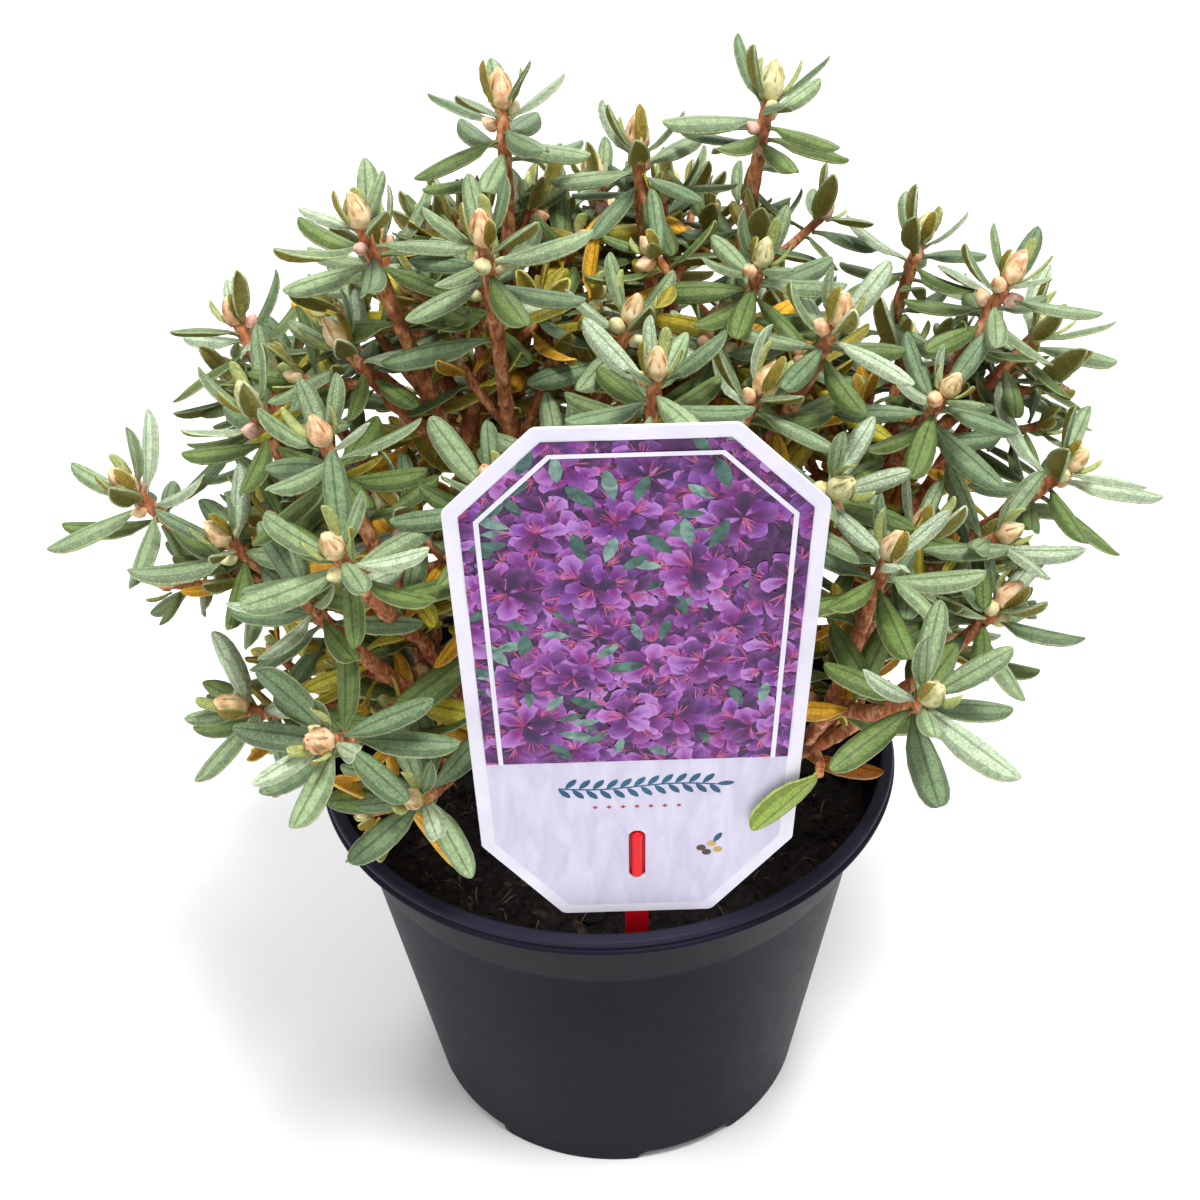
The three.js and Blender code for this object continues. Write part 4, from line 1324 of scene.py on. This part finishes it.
def make_sprig():
    """A wavy twig with leaves, a row of dots under it, and four berries with a leaf."""
    sprig = Ink(card_outline())
    wave = [np.array([x, SPRIG_HEIGHT + 0.8 * math.sin(x * 0.16)])
            for x in np.linspace(-SPRIG_REACH, SPRIG_REACH, 24)]
    half = np.array([0, 0.25])
    for i, (start, end) in enumerate(zip(wave, wave[1:])):
        sprig.paint([start - half, end - half, end + half, start + half], INK_LIFT)
        sprig.leaf(start, 0.9 if i % 2 else -0.9, SPRIG_LEAF, LEAF_INK_LIFT)
    sprig.leaf(wave[-1], 0.1, SPRIG_LEAF, LEAF_INK_LIFT)
    for i in range(-3, 4):
        x, y, r = i * DOT_PITCH, DOT_HEIGHT, DOT_RADIUS
        sprig.paint([(x - r, y), (x, y - r), (x + r, y), (x, y + r)], INK_LIFT, 1)
    for i, place in enumerate(BERRIES):
        sprig.paint(arc(place, BERRY_RADIUS, 0, 345, 24), INK_LIFT + i * LAYER, 2 + i % 2)
    sprig.leaf(np.array(BERRY_LEAF_FOOT), 1.1, BERRY_LEAF, LEAF_INK_LIFT)
    sprig.printed("label_panel_sprig", [
        print_look("print_teal", [srgb(22, 72, 104), srgb(36, 92, 122)]),
        print_look("print_red", [srgb(160, 48, 62), srgb(186, 76, 88)]),
        print_look("print_brown", [srgb(62, 46, 34), srgb(84, 64, 48)]),
        print_look("print_straw", [srgb(176, 148, 84), srgb(200, 174, 112)])])


# ---------------------------------------------------------------- trunk, boughs and stems


def trunk_curve():
    return Bezier(
        (0, 0, SOIL_LEVEL + CLEARANCE), (0, 0, (SOIL_LEVEL + TRUNK_TOP) / 2), (*TRUNK_LEAN, TRUNK_TOP))


def trunk_radius(share):
    flare = (TRUNK_FLARE_RADIUS - TRUNK_RADIUS) * (1 - np.minimum(1, share / 0.3)) ** 2
    return TRUNK_RADIUS * (1 - 0.15 * share) + flare


def bough_curve(name):
    azimuth, reach, height, foot_height = BOUGHS[name]
    share = (foot_height - SOIL_LEVEL) / (TRUNK_TOP - SOIL_LEVEL)
    foot = trunk_curve().point(min(1, share))
    tip = polar(azimuth, reach, height)
    bend = (foot + tip) / 2 - UP * BOUGH_SAG * np.linalg.norm(tip - foot)
    return Bezier(foot, bend, tip)


def stem_feet(bough_name):
    """The stems on one bough stand evenly round its end face, in the order they fan out."""
    bough = bough_curve(bough_name)
    end, ahead = bough.point(1), bough.tangent(1)
    across = unit(np.cross(UP, ahead))
    upward = np.cross(ahead, across)
    fan = []
    for name, (owner, azimuth, reach, height, *_) in MASSES.items():
        if owner == bough_name:
            away = polar(azimuth, reach, height) - end
            fan.append((math.atan2(np.dot(away, upward), np.dot(away, across)), name))
    fan.sort()
    pitch = 2 * math.pi / len(fan)
    first = np.angle(sum(np.exp(1j * (angle - i * pitch)) for i, (angle, _) in enumerate(fan)))
    feet = {}
    for i, (_, name) in enumerate(fan):
        angle = first + i * pitch
        feet[name] = across * math.cos(angle) + upward * math.sin(angle)
    return feet


def leader_curve(name, feet):
    """A leader starts on its bough's end face, square to it, and ends under its bud."""
    owner, azimuth, reach, height, *_ = MASSES[name]
    bough = bough_curve(owner)
    end, ahead = bough.point(1), bough.tangent(1)
    bud = polar(azimuth, reach, height)
    tip = bud - unit(bud - end) * BUD_SEAT
    foot = end + ahead * CLEARANCE + feet[name] * STEM_SPREAD
    length = np.linalg.norm(tip - foot)
    first = foot + ahead * LEADER_BENDS[0] * length
    second = foot + (tip - foot) * LEADER_BENDS[1] - UP * LEADER_SAG * length
    return Bezier(foot, first, second, tip)


def side_curve(leader, roll, seed, number):
    """A side shoot forks from the leader and ends beside it, lower down."""
    start = leader.point(drawn(SIDE_FORK, seed, 10 + number))
    tip = leader.point(1)
    axis = unit(tip - start)
    across = unit(np.cross(UP, axis))
    upward = np.cross(axis, across)
    angle = math.radians(roll) + golden_turn(number - 1)
    spread = drawn(SIDE_SPREAD, seed, 20 + number)
    drop = drawn(SIDE_DROP, seed, 30 + number)
    end = tip - axis * drop + (across * math.cos(angle) + upward * math.sin(angle)) * spread
    bend = (start + end) / 2 + flatten(end - tip, axis) * SIDE_BOW
    return Bezier(start, bend, end)


def relief(lengths, sides, radii, seed, bark):
    """Radii of a limb's surface: rough bark, and under each leaf scar a cushion that swells slowly
    up the limb and ends in a step. bark is (roughness, distance between scars, their size).
    """
    roughness, pitch, scar = bark
    angles = np.arange(sides) * 2 * math.pi / sides
    circle = [(math.cos(a) * 1.7 + seed * 7.7, math.sin(a) * 1.7) for a in angles]
    rough = [[noise.fractal(Vector((x, y, s * 0.42)), 0.8, 2.2, 4) for x, y in circle] for s in lengths]
    surface = radii[:, None] * (1 + roughness * np.array(rough))
    for i in range(int(lengths[-1] / pitch)):
        place = (i + 0.6) * pitch
        near = np.abs(lengths - place) < 3 * pitch
        off = (angles - golden_turn(i) - seed + math.pi) % (2 * math.pi) - math.pi
        along = (lengths[near] - place) / SCAR_LENGTH
        rise = np.exp(-(along / np.where(along > 0, 0.45, 1.3)) ** 2)
        surface[near] += scar * rise[:, None] * np.exp(-(off / SCAR_SPREAD) ** 2)[None]
    return surface


def make_limbs():
    """Trunk and boughs in one mesh with the bark's relief."""
    heap = Heap()
    trunk = trunk_curve()
    shares = np.linspace(0, 1, TRUNK_RINGS)
    radii = trunk_radius(shares) * np.where(shares > 0.93, 0.9, 1)
    surface = relief(shares * trunk.length, TRUNK_SIDES, radii, 1, TRUNK_BARK)
    add_tube(heap, trunk.points(shares), surface, TRUNK_SIDES)
    for seed, name in enumerate(BOUGHS, start=2):
        bough = bough_curve(name)
        shares = np.linspace(0, 1, int(bough.length / BOUGH_STEP))
        end = np.clip((1 - shares) * bough.length / BOUGH_END, 0.12, 1)
        surface = relief(shares * bough.length, BOUGH_SIDES, between(BOUGH_RADII, shares) * np.sqrt(end),
                         seed, BOUGH_BARK)
        add_tube(heap, bough.points(shares), surface, BOUGH_SIDES)
    tones = [srgb(78, 54, 40), srgb(124, 84, 60), srgb(146, 114, 90)]
    bark = bark_look("bark_old", tones, srgb(62, 44, 36))
    heap.piece("trunk_and_boughs", [bark], "bark", ["trunk", *[f"bough_{name}" for name in BOUGHS]])


def add_stem(heap, curve, seed, radii=STEM_RADII, back=0, sides=STEM_SIDES):
    """A stem along a curve: it runs back into its bough, or starts thin in the stem it forks from."""
    shares = np.linspace(0, 1, max(8, int(curve.length / STEM_STEP)))
    places = [curve.at(s)[0] for s in shares]
    lengths = shares * curve.length
    if back:
        places.insert(0, places[0] - curve.tangent(0) * back)
        lengths = np.concatenate([[0], lengths + back])
    base = between(radii, lengths / lengths[-1])
    if not back:
        base = base * (0.4 + 0.6 * smooth_step(lengths / FORK_LENGTH))
    add_tube(heap, places, relief(lengths, sides, base, seed, STEM_BARK), sides)


# ---------------------------------------------------------------- leaves and buds


UPPER, RIB_SHADE, UNDER, MARGIN, FLANK_SHADE = range(5)


def leaf_width(u):
    """Half width of a leaf, as a share of its greatest: a short stalk and a blunt oblong blade."""
    t = np.clip((u - 0.05) / 0.95, 0, 1)
    rise = (1 - np.abs(2 * np.minimum(t, 0.5) - 1) ** 2.2) ** 0.85
    fall = (1 - (2 * np.maximum(t, 0.5) - 1) ** 3) ** 0.6
    return np.maximum(0.17, rise) * fall


def scale_width(u):
    """Half width of a bud scale, likewise: widest under its middle and rounded at its tip."""
    return (1 - np.abs(2 * np.clip(u, 0, 1) ** 0.8 - 1) ** 2.2) ** 0.6 * 0.85 + 0.15 * (1 - u)


class Blades:
    """Leaves or bud scales, gathered by colour and shaped all at once.

    A blade is a loft of rings. Each ring runs over the upper face through the given columns and
    back under it. A leaf's faces are of five kinds, a bract's or scale's of two: upper and under.
    """

    def __init__(self, stations, columns, under, width_at):
        self.stations, self.columns, self.under = map(np.array, (stations, columns, under))
        self.widths = width_at(self.stations)
        sides = len(columns) + len(under)
        quads, fans = loft_faces(len(stations), sides)
        last = len(columns) - 1
        kinds = np.array([UNDER if i > last else UPPER for i in range(sides)])
        if len(columns) > len(PLAIN_COLUMNS):
            # on a leaf the midrib and the steep flanks get darker looks: painted shade in the groove and
            # on the curled sides
            kinds[[0, last - 1, last, sides - 1]] = MARGIN
            kinds[last // 2] = RIB_SHADE
            kinds[[1, last - 2]] = FLANK_SHADE
        self.faces = quads, fans, np.tile(kinds, len(stations) - 1), np.tile(kinds, 2)
        self.rows = {}

    def add(self, colour, root, along, upward, size, roll, bend, twist=0, groove=0):
        """One blade: size is (length, width, thickness), roll the half arc of its section, bend the
        angle that it droops by and twist the angle that it turns by, all in degrees."""
        angles = np.radians([roll, bend, twist])
        self.rows.setdefault(colour, []).append((*root, *along, *upward, *size, *angles, groove))

    def shape(self, rows):
        """The points of all blades in the rows, (blades, points, 3)."""
        rows = np.array(rows, float)
        root, along, upward = rows[:, None, 0:3], rows[:, None, 3:6], rows[:, None, 6:9]
        length, width, thickness, roll, bend, twist, groove = [
            rows[:, i, None, None] for i in range(9, 16)]
        u = self.stations[None, :, None]
        bend = np.where(np.abs(bend) < 1e-4, 1e-4, bend)
        across = np.cross(upward, along)
        middle = root + length / bend * (along * np.sin(bend * u) - upward * (1 - np.cos(bend * u)))
        ahead = along * np.cos(bend * u) - upward * np.sin(bend * u)
        over = along * np.sin(bend * u) + upward * np.cos(bend * u)
        side = across * np.cos(twist * u) + over * np.sin(twist * u)
        over = over * np.cos(twist * u) - across * np.sin(twist * u)
        half_arc = np.minimum(roll * smooth_step(u / 0.3) + 0.25, 1.4)
        radius = (width / 2 * self.widths[None, :, None] / np.sin(half_arc))[..., None]
        body = thickness * (1 + 0.9 * (1 - smooth_step(u / 0.22)))
        side, over, layers = side[:, :, None], over[:, :, None], []
        for columns, below in ((self.columns, 0), (self.under, 1)):
            v = columns[None, None, :, None]
            angle = v * half_arc[..., None]
            crease = np.exp(-(v / 0.14) ** 2) * (groove * smooth_step(u / 0.1))[..., None]
            normal = side * np.sin(angle) + over * np.cos(angle)
            point = middle[:, :, None] + side * radius * np.sin(angle)
            point = point + over * (radius * (np.cos(angle) - 1) - crease)
            layers.append(point - normal * body[..., None] * below)
        rings = np.concatenate(layers, axis=2).reshape(len(rows), -1, 3)
        tip = middle[:, -1] + ahead[:, -1] * (length * (1 - u[:, -1:]))[:, 0]
        tip = tip - over[:, -1, 0] * thickness[:, 0] / 2
        foot = middle[:, 0] - over[:, 0, 0] * body[:, 0] / 2
        return np.concatenate([rings, foot[:, None], tip[:, None]], axis=1)

    def heap(self, colour):
        points = self.shape(self.rows[colour])
        count, size = points.shape[:2]
        quads, fans, quad_kinds, fan_kinds = self.faces
        starts = (np.arange(count) * size)[:, None, None]
        heap = Heap()
        heap.add(
            points,
            [(quads[None] + starts).reshape(-1, 4), (fans[None] + starts).reshape(-1, 3)],
            [np.tile(quad_kinds, count), np.tile(fan_kinds, count)])
        return heap


# colour of the upper face and of the underside
LEAF_COLOURS = {
    "frost": (srgb(166, 183, 151), srgb(146, 138, 74)),
    "sage": (srgb(132, 152, 111), srgb(140, 130, 62)),
    "grey": (srgb(106, 128, 91), srgb(138, 130, 66)),
    "green": (srgb(96, 116, 60), srgb(138, 130, 66)),
    "deep": (srgb(88, 107, 58), srgb(126, 116, 54)),
    "fresh": (srgb(134, 156, 60), srgb(140, 150, 80)),
    "olive": (srgb(160, 146, 44), srgb(144, 124, 42)),
    "lime": (srgb(182, 172, 50), srgb(162, 150, 62)),
    "ochre": (srgb(228, 166, 40), srgb(196, 146, 48)),
    "rust": (srgb(176, 106, 28), srgb(150, 90, 32)),
    "young": (srgb(160, 170, 106), srgb(142, 122, 46)),
}
FADED = ("lime", "ochre", "rust", "olive")
MARGIN_TONE = srgb(206, 204, 150)
UPPER_COLOURS = ("frost", "sage", "grey", "sage", "frost", "sage")
MIDDLE_COLOURS = ("sage", "grey", "green", "green", "grey")
LOWER_COLOURS = ("green", "deep", "green", "grey", "deep", "green")
INNER_COLOURS = ("olive", "green", "lime", "ochre", "olive", "lime", "green", "ochre")
OLD_COLOURS = ("lime", "ochre", "olive", "lime", "green", "ochre", "rust", "olive")
BUD_COLOURS = {
    "peach": [srgb(196, 136, 98), srgb(230, 184, 142), srgb(244, 216, 184)],
    "tan": [srgb(190, 146, 100), srgb(224, 192, 146), srgb(240, 222, 184)],
    "cream": [srgb(184, 170, 116), srgb(214, 206, 152), srgb(232, 226, 184)],
    "pink": [srgb(168, 112, 98), srgb(212, 166, 148), srgb(232, 202, 186)],
}
BUD_KINDS = list(BUD_COLOURS)


def leaf_looks(colour):
    """The looks of a leaf's upper face, midrib, underside, margin and flanks: the midrib and the flanks
    are painted darker, as painted shade in the groove and on the curled sides.
    """
    tone, under = LEAF_COLOURS[colour]
    margin = blended(shaded(tone, 1.15), MARGIN_TONE, 0.28)
    # painted shade: the midrib at 0.6 and the flanks at 0.7 of the leaf's tone
    tones = {"leaf": shaded(tone, 1.08), "rib_shade": shaded(tone, 0.6), "under": under, "margin": margin,
             "flank_shade": shaded(tone, 0.7)}
    return [leaf_look(f"{face}_{colour}", face_tone) for face, face_tone in tones.items()]


def pick(options, index, salt):
    return options[int(chance(index, salt) * len(options))]


def is_top(curve):
    return curve.point(1)[2] > TOP_HEIGHT


def is_outer(curve):
    return np.hypot(*curve.point(1)[:2]) > OUTER_REACH


def leaning(axis, side, lean):
    """The direction that leans from an axis towards a side, and the one square above it."""
    angle = math.radians(lean)
    return (axis * math.cos(angle) + side * math.sin(angle),
            axis * math.sin(angle) - side * math.cos(angle))


def place_on(curve, below, seed, number):
    """A leaf's place on its shoot, the shoot's direction there, and the side the leaf is on."""
    point, axis = curve.at(1 - below / curve.length)
    outward = unit(flatten(curve.point(1) * (1, 1, 0), axis))
    sway = LEAF_SWAY * (chance(seed, 5) - 0.5)
    return point, axis, turned(outward, axis, golden_turn(number - OUTWARD_LEAF) + math.radians(sway))


def is_left_out(curve, point, side, mark, number, below):
    """True for a leaf at its shoot's very foot or before a bare stem, and for some low in the crown."""
    bare_side = BARE_SIDE if is_top(curve) else 2 * BARE_SIDE
    hides_stem = below > BARE_BELOW and side[1] < -bare_side
    is_low = point[2] < OPEN_HEIGHT and number >= ROSETTE_LEAVES
    is_thinned = is_low and chance(mark, 8) < OPEN_SHARE
    return below > curve.length * LAST_LEAF or hides_stem or is_thinned


def add_leaf(leaves, curve, seed, number, below, lean, length, colour):
    """One leaf on a shoot, kept only where it is clear of pot, soil and label."""
    mark = seed * 31 + number
    point, axis, side = place_on(curve, below, seed, number)
    if is_left_out(curve, point, side, mark, number, below):
        return
    tip = point + side * length
    if colour in FADED and np.linalg.norm((tip - CROWN_CENTRE) / CROWN_SIZE) > INNER_SHARE:
        colour = pick(MIDDLE_COLOURS, mark, 76)
    along, upward = leaning(axis, side, lean)
    calming = LEAF_LIFT if along[2] < 0 else LEAF_SINK * (number >= ROSETTE_HEART)
    along = unit(along - UP * along[2] * calming)
    upward = unit(flatten(upward + UP * LEAF_LEVEL * math.sin(math.radians(lean)), along))
    upward = turned(upward, along, math.radians(drawn(LEAF_TURNS, mark, 1)))
    length *= drawn(LEAF_LENGTHS, mark, 2)
    width = length * LEAF_SLENDERNESS * drawn(LEAF_WIDTHS, mark, 3) + LEAF_EXTRA_WIDTH
    bend = drawn(LEAF_BENDS, mark, 6)
    root = point + side * LEAF_ROOT
    droop = upward * length * math.radians(bend) / 2
    across = np.cross(upward, along) * width / 2
    middles = [root + along * length * u - droop * u * u for u in (0.3, 0.65, 1)]
    if is_clear([m + across * v for m in middles for v in (-1, 0, 1)]):
        leaves.add(colour, root, along, upward, (length, width, LEAF_THICKNESS),
                   drawn(LEAF_ROLLS, mark, 4), bend, drawn(LEAF_TWISTS, mark, 7), LEAF_GROOVE)


def is_clear(spots):
    """True where no spot is in pot or soil, touches the label or hides it from the camera."""
    spots = np.array(spots)
    reach = np.hypot(spots[:, 0], spots[:, 1])
    by_rim = (reach < POT_RADIUS + 1) & (spots[:, 2] < POT_HEIGHT + 1) & (reach > POT_RADIUS - 6)
    in_soil = (reach < POT_RADIUS) & (spots[:, 2] < SOIL_LEVEL + 2)
    local, eye = to_card(spots), to_card(CAMERA_PLACE)
    share = (CARD_FRONT - eye[2]) / (local[:, 2] - eye[2])
    seen = eye[:2] + (local[:, :2] - eye[:2]) * share[:, None]
    in_sight = np.ones(len(spots), bool)
    for start, inward in edges_of(card_outline()):
        in_sight &= (seen - start) @ inward > -0.8
    before_card = in_sight & (local[:, 2] > STICK_BACK - 1)
    return not (by_rim | in_soil | before_card).any()


def rosette_leaf(rosette, seed, number):
    """A rosette leaf's distance under the bud, its lean, and its share of the full length."""
    place, lean, size, most, sway = rosette
    tilt = min(most, stepped(lean, number)) + sway * (chance(seed, 40 + number) - 0.5)
    return stepped(place, number), tilt, min(1, stepped(size, number))


def add_rosette(leaves, curve, seed):
    """The leaves right under a bud: short and steep in its heart, longer and flatter outside."""
    low, high = SHRINK_HEIGHTS
    rise = smooth_step((curve.point(1)[2] - low) / (high - low))
    size = OUTER_SIZE if is_outer(curve) else 1 - SHRINK_SHARE * rise
    for i in range(ROSETTE_LEAVES):
        below, lean, share = rosette_leaf(ROSETTE, seed, i)
        if i == OUTWARD_LEAF and is_outer(curve):
            share = OUTWARD_SIZE
        colour = pick(UPPER_COLOURS if i < UPPER_LEAVES else MIDDLE_COLOURS, seed * 3 + i, 71)
        add_leaf(leaves, curve, seed, i, below, lean, LEAF_LENGTH * size * share, colour)


def add_lower_leaves(leaves, curve, seed, old_leaves):
    """Leaves along the stem under the rosette, and under them old ones that have turned."""
    below, number = LOWER_FIRST, ROSETTE_LEAVES
    lowest = LOWEST_ON_TOP if is_top(curve) else LOWEST
    while below < min(curve.length * LAST_LOWER_LEAF, lowest):
        share = chance(seed, 80 + number)
        shift, lean, size = [between(ends, share) for ends in (LOWER_SHIFT, LOWER_LEAN, LOWER_SIZE)]
        colour = pick(LOWER_COLOURS if below < INNER_BELOW else INNER_COLOURS, seed * 3 + number, 73)
        add_leaf(leaves, curve, seed, number, below + shift, lean, LEAF_LENGTH * size, colour)
        below, number = below + LOWER_PITCH, number + 1
    for i in range(old_leaves):
        below = lowest - OLD_OVERLAP + i * (curve.length - lowest) / old_leaves
        lean, length = drawn(OLD_LEAN, seed, 90 + i), drawn(OLD_LENGTH, seed, 90 + i)
        colour = pick(OLD_COLOURS, seed * 5 + i, 74)
        add_leaf(leaves, curve, seed, number + i, below, lean, length, colour)


def add_spur_leaves(leaves, spur, seed):
    for i in range(SPUR_LEAVES):
        below, lean, share = rosette_leaf(SPUR_ROSETTE, seed, i)
        colour = pick(INNER_COLOURS, seed * 3 + i, 75)
        add_leaf(leaves, spur, seed, i, below, lean, SPUR_LEAF_LENGTH * share, colour)


def ovoid(heap, foot, axis, side, length, width, kind):
    """A pointed egg that stands on its foot."""
    aside = np.cross(axis, side)
    shares = np.array([0.06, 0.24, 0.48, 0.72, 0.9])
    angles = np.arange(8)[None, :, None] * math.pi / 4
    around = side * np.cos(angles) + aside * np.sin(angles)
    radii = width / 2 * np.sin(math.pi * shares ** 0.72) ** 0.8
    rings = foot + axis * length * shares[:, None, None] + around * radii[:, None, None]
    add_loft(heap, rings, np.array([foot, foot + axis * length]), kind)


def add_bud(crown, foot, axis, side, length, width, seed, colour, rows):
    """A bud: a pointed egg under rows of overlapping scales that close towards its tip."""
    kind = BUD_KINDS.index(colour)
    ovoid(crown.cores, foot, axis, side, length * CORE_LENGTH, width * CORE_WIDTH, kind)
    for number in range(rows * SCALES_IN_ROW):
        row = number // SCALES_IN_ROW
        outward = turned(side, axis, golden_turn(number) + 0.3 * chance(seed, 101 + number))
        aside = outward * width * stepped(SCALE_PLACE, row)
        root = foot + axis * length * between(SCALE_HEIGHTS, row / rows) + aside
        along, inward = leaning(axis, outward, stepped(SCALE_LEAN, row))
        reach = length * stepped(SCALE_REACH, row) * drawn(SCALE_SIZES, seed, 120 + number)
        crown.scales.add(colour, root, along, -inward, (reach, width * SCALE_WIDTH, SCALE_THICKNESS),
                         SCALE_ROLL, stepped(SCALE_BEND, row))


def add_buds(crown, curve, seed, size, rows=3, side_buds=4):
    """The bud at a shoot's tip, small bracts that hug it, and now and then a few side buds."""
    tip, axis = curve.at(1)
    side = unit(flatten(np.array([1.0, 0.3, 0.1]), axis))
    colour = pick(("peach", "tan", "peach", "tan", "cream"), seed, 62)
    add_bud(crown, tip - axis * 1.4, axis, side, BUD_LENGTH * size, BUD_WIDTH * size, seed, colour, rows)
    for i in range(2 + int(2 * chance(seed, 63))):
        outward = turned(side, axis, golden_turn(i) + seed)
        along, upward = leaning(axis, outward, 18 + 24 * chance(seed, 64 + i))
        root = tip + outward * 1.8 - axis * 0.5
        size_here = (drawn(BRACT_LENGTH, seed, 66 + i) * size, BRACT_WIDTH, BRACT_THICKNESS)
        if is_clear([root, root + along * size_here[0]]):
            crown.bracts.add("young", root, along, upward, size_here, 38, -30)
    for i in range(int(side_buds * chance(seed, 68))):
        point, axis_here, outward = place_on(curve, 3 + 3.2 * i, seed, i + 0.5)
        along, upward = leaning(axis_here, outward, 54)
        small = drawn(SIDE_BUD_LENGTH, seed, 69 + i)
        add_bud(crown, point + outward * 1.4, along, upward, small, small * SIDE_BUD_WIDTH,
                seed + i, pick(("pink", "cream", "peach"), seed + i, 70), rows=1)


# ---------------------------------------------------------------- the plant


def grow_shoots():
    """Every shoot as (curve, seed, whether it leads its mass), by the same rule as the solids."""
    feet = {}
    for name in BOUGHS:
        feet.update(stem_feet(name))
    shoots = []
    for index, (name, (_, _, _, _, count, roll, seed)) in enumerate(MASSES.items(), start=1):
        leader = leader_curve(name, feet)
        shoots.append((leader, index * 10, True))
        for number in range(1, count):
            shoots.append((side_curve(leader, roll, seed, number), index * 10 + number, False))
        for number, (share, *tip) in enumerate(LATE_SHOOTS.get(name, ()), start=5):
            start = leader.point(share)
            away = flatten(np.array(tip) - leader.point(1), leader.tangent(1))
            bend = (start + tip) / 2 + away * LATE_BOW
            shoots.append((Bezier(start, bend, tip), index * 10 + number, False))
    return shoots


def spur_curve(shoot, seed, number):
    """A short twig on the lower part of a shoot, with a small rosette of its own."""
    places = SPUR_PLACES_ON_TOP if is_top(shoot) else SPUR_PLACES
    below = shoot.length * (stepped(places, number) + drawn(SPUR_SHIFT, seed, 131 + number))
    point, axis, side = place_on(shoot, below, seed, number * 2 + 1.3)
    along, _ = leaning(axis, side, drawn(SPUR_LEAN, seed, 134 + number))
    length = drawn(SPUR_LENGTH, seed, 137 + number) * (TOP_SPUR_FACTOR if is_top(shoot) else 1)
    return Bezier(point, point + along * length * 0.5, point + along * length + UP * length * 0.22)


class Crown:
    """All stems, leaves and buds, gathered by kind and colour."""

    def __init__(self):
        self.stems, self.cores = Heap(), Heap()
        self.leaves = Blades(LEAF_STATIONS, LEAF_COLUMNS, LEAF_UNDER, leaf_width)
        self.bracts = Blades(BRACT_STATIONS, PLAIN_COLUMNS, BRACT_UNDER, leaf_width)
        self.scales = Blades(SCALE_STATIONS, PLAIN_COLUMNS, SCALE_UNDER, scale_width)

    def dress_shoot(self, curve, seed, leads):
        add_stem(self.stems, curve, seed, back=STEM_OVERLAP if leads else 0)
        add_buds(self, curve, seed, drawn(BUD_SIZES, seed, 61))
        add_rosette(self.leaves, curve, seed)
        add_lower_leaves(self.leaves, curve, seed, OLD_ON_LEADER if leads else OLD_ON_SIDE_SHOOT)
        spurs = LEADER_SPURS if leads else SIDE_SHOOT_SPURS
        for number in range(spurs + MORE_SPURS_ON_TOP * is_top(curve)):
            spur = spur_curve(curve, seed, number)
            is_behind = spur.tangent(0)[1] > -SPUR_FRONT
            if is_behind and is_clear(spur.points([0.3, 0.7, 1]) + UP * 3):
                self.dress_spur(spur, 300 + seed * 3 + number)

    def dress_spur(self, spur, seed):
        add_stem(self.stems, spur, seed, SPUR_RADII, sides=SPUR_SIDES)
        add_buds(self, spur, seed, drawn(SPUR_BUD_SIZES, seed, 61), rows=2, side_buds=2)
        add_spur_leaves(self.leaves, spur, seed)

    def make_pieces(self):
        nodes = [f"foliage_{name}" for name in MASSES]
        tones = [srgb(148, 84, 50), srgb(190, 118, 74), srgb(222, 172, 128)]
        bark = bark_look("bark_young", tones, srgb(112, 64, 42))
        self.stems.piece("twigs", [bark], "bark", nodes)
        for blades in (self.leaves, self.bracts):
            for colour in blades.rows:
                blades.heap(colour).piece(f"leaves_{colour}", leaf_looks(colour), "foliage", nodes)
        looks = {kind: bud_look(f"bud_{kind}", BUD_COLOURS[kind]) for kind in BUD_KINDS}
        for colour in self.scales.rows:
            faces = [looks[colour]] * (UNDER + 1)
            self.scales.heap(colour).piece(f"bud_scales_{colour}", faces, "foliage", nodes)
        self.cores.piece("bud_cores", list(looks.values()), "foliage", nodes)


def make_plant():
    crown = Crown()
    shoots = grow_shoots()
    for curve, seed, leads in shoots:
        crown.dress_shoot(curve, seed, leads)
    add_overhanging_leaf(crown, shoots)
    crown.make_pieces()


def add_overhanging_leaf(crown, shoots):
    """A short twig beside the label, and the one leaf that hangs over its lower corner."""
    order = list(MASSES).index(OVERHANG_MASS) + 1
    carrier = [curve for curve, seed, _ in shoots if seed == order * 10][0]
    bend, end, tip = [from_card(place) for place in OVERHANG]
    twig = Bezier(carrier.point(OVERHANG_FORK), bend, end)
    add_stem(crown.stems, twig, 3, OVERHANG_RADII, sides=SPUR_SIDES)
    along = unit(tip - end)
    upward = unit(flatten(CARD_AXES @ (0.25, 0.1, 1), along))
    size = (np.linalg.norm(tip - end), *OVERHANG_LEAF)
    crown.leaves.add("fresh", end, along, upward, size, 30, 8, groove=0.3)


# ---------------------------------------------------------------- all together

CAMERA_PLACE = make_camera()
make_studio()
make_pot()
make_soil()
CARD_PAPER = print_look("card_paper", [srgb(224, 221, 232), srgb(212, 208, 222)])
make_card(CARD_PAPER)
make_frame_line(CARD_PAPER, make_picture())
make_panel()
make_stick()
make_limbs()
make_plant()
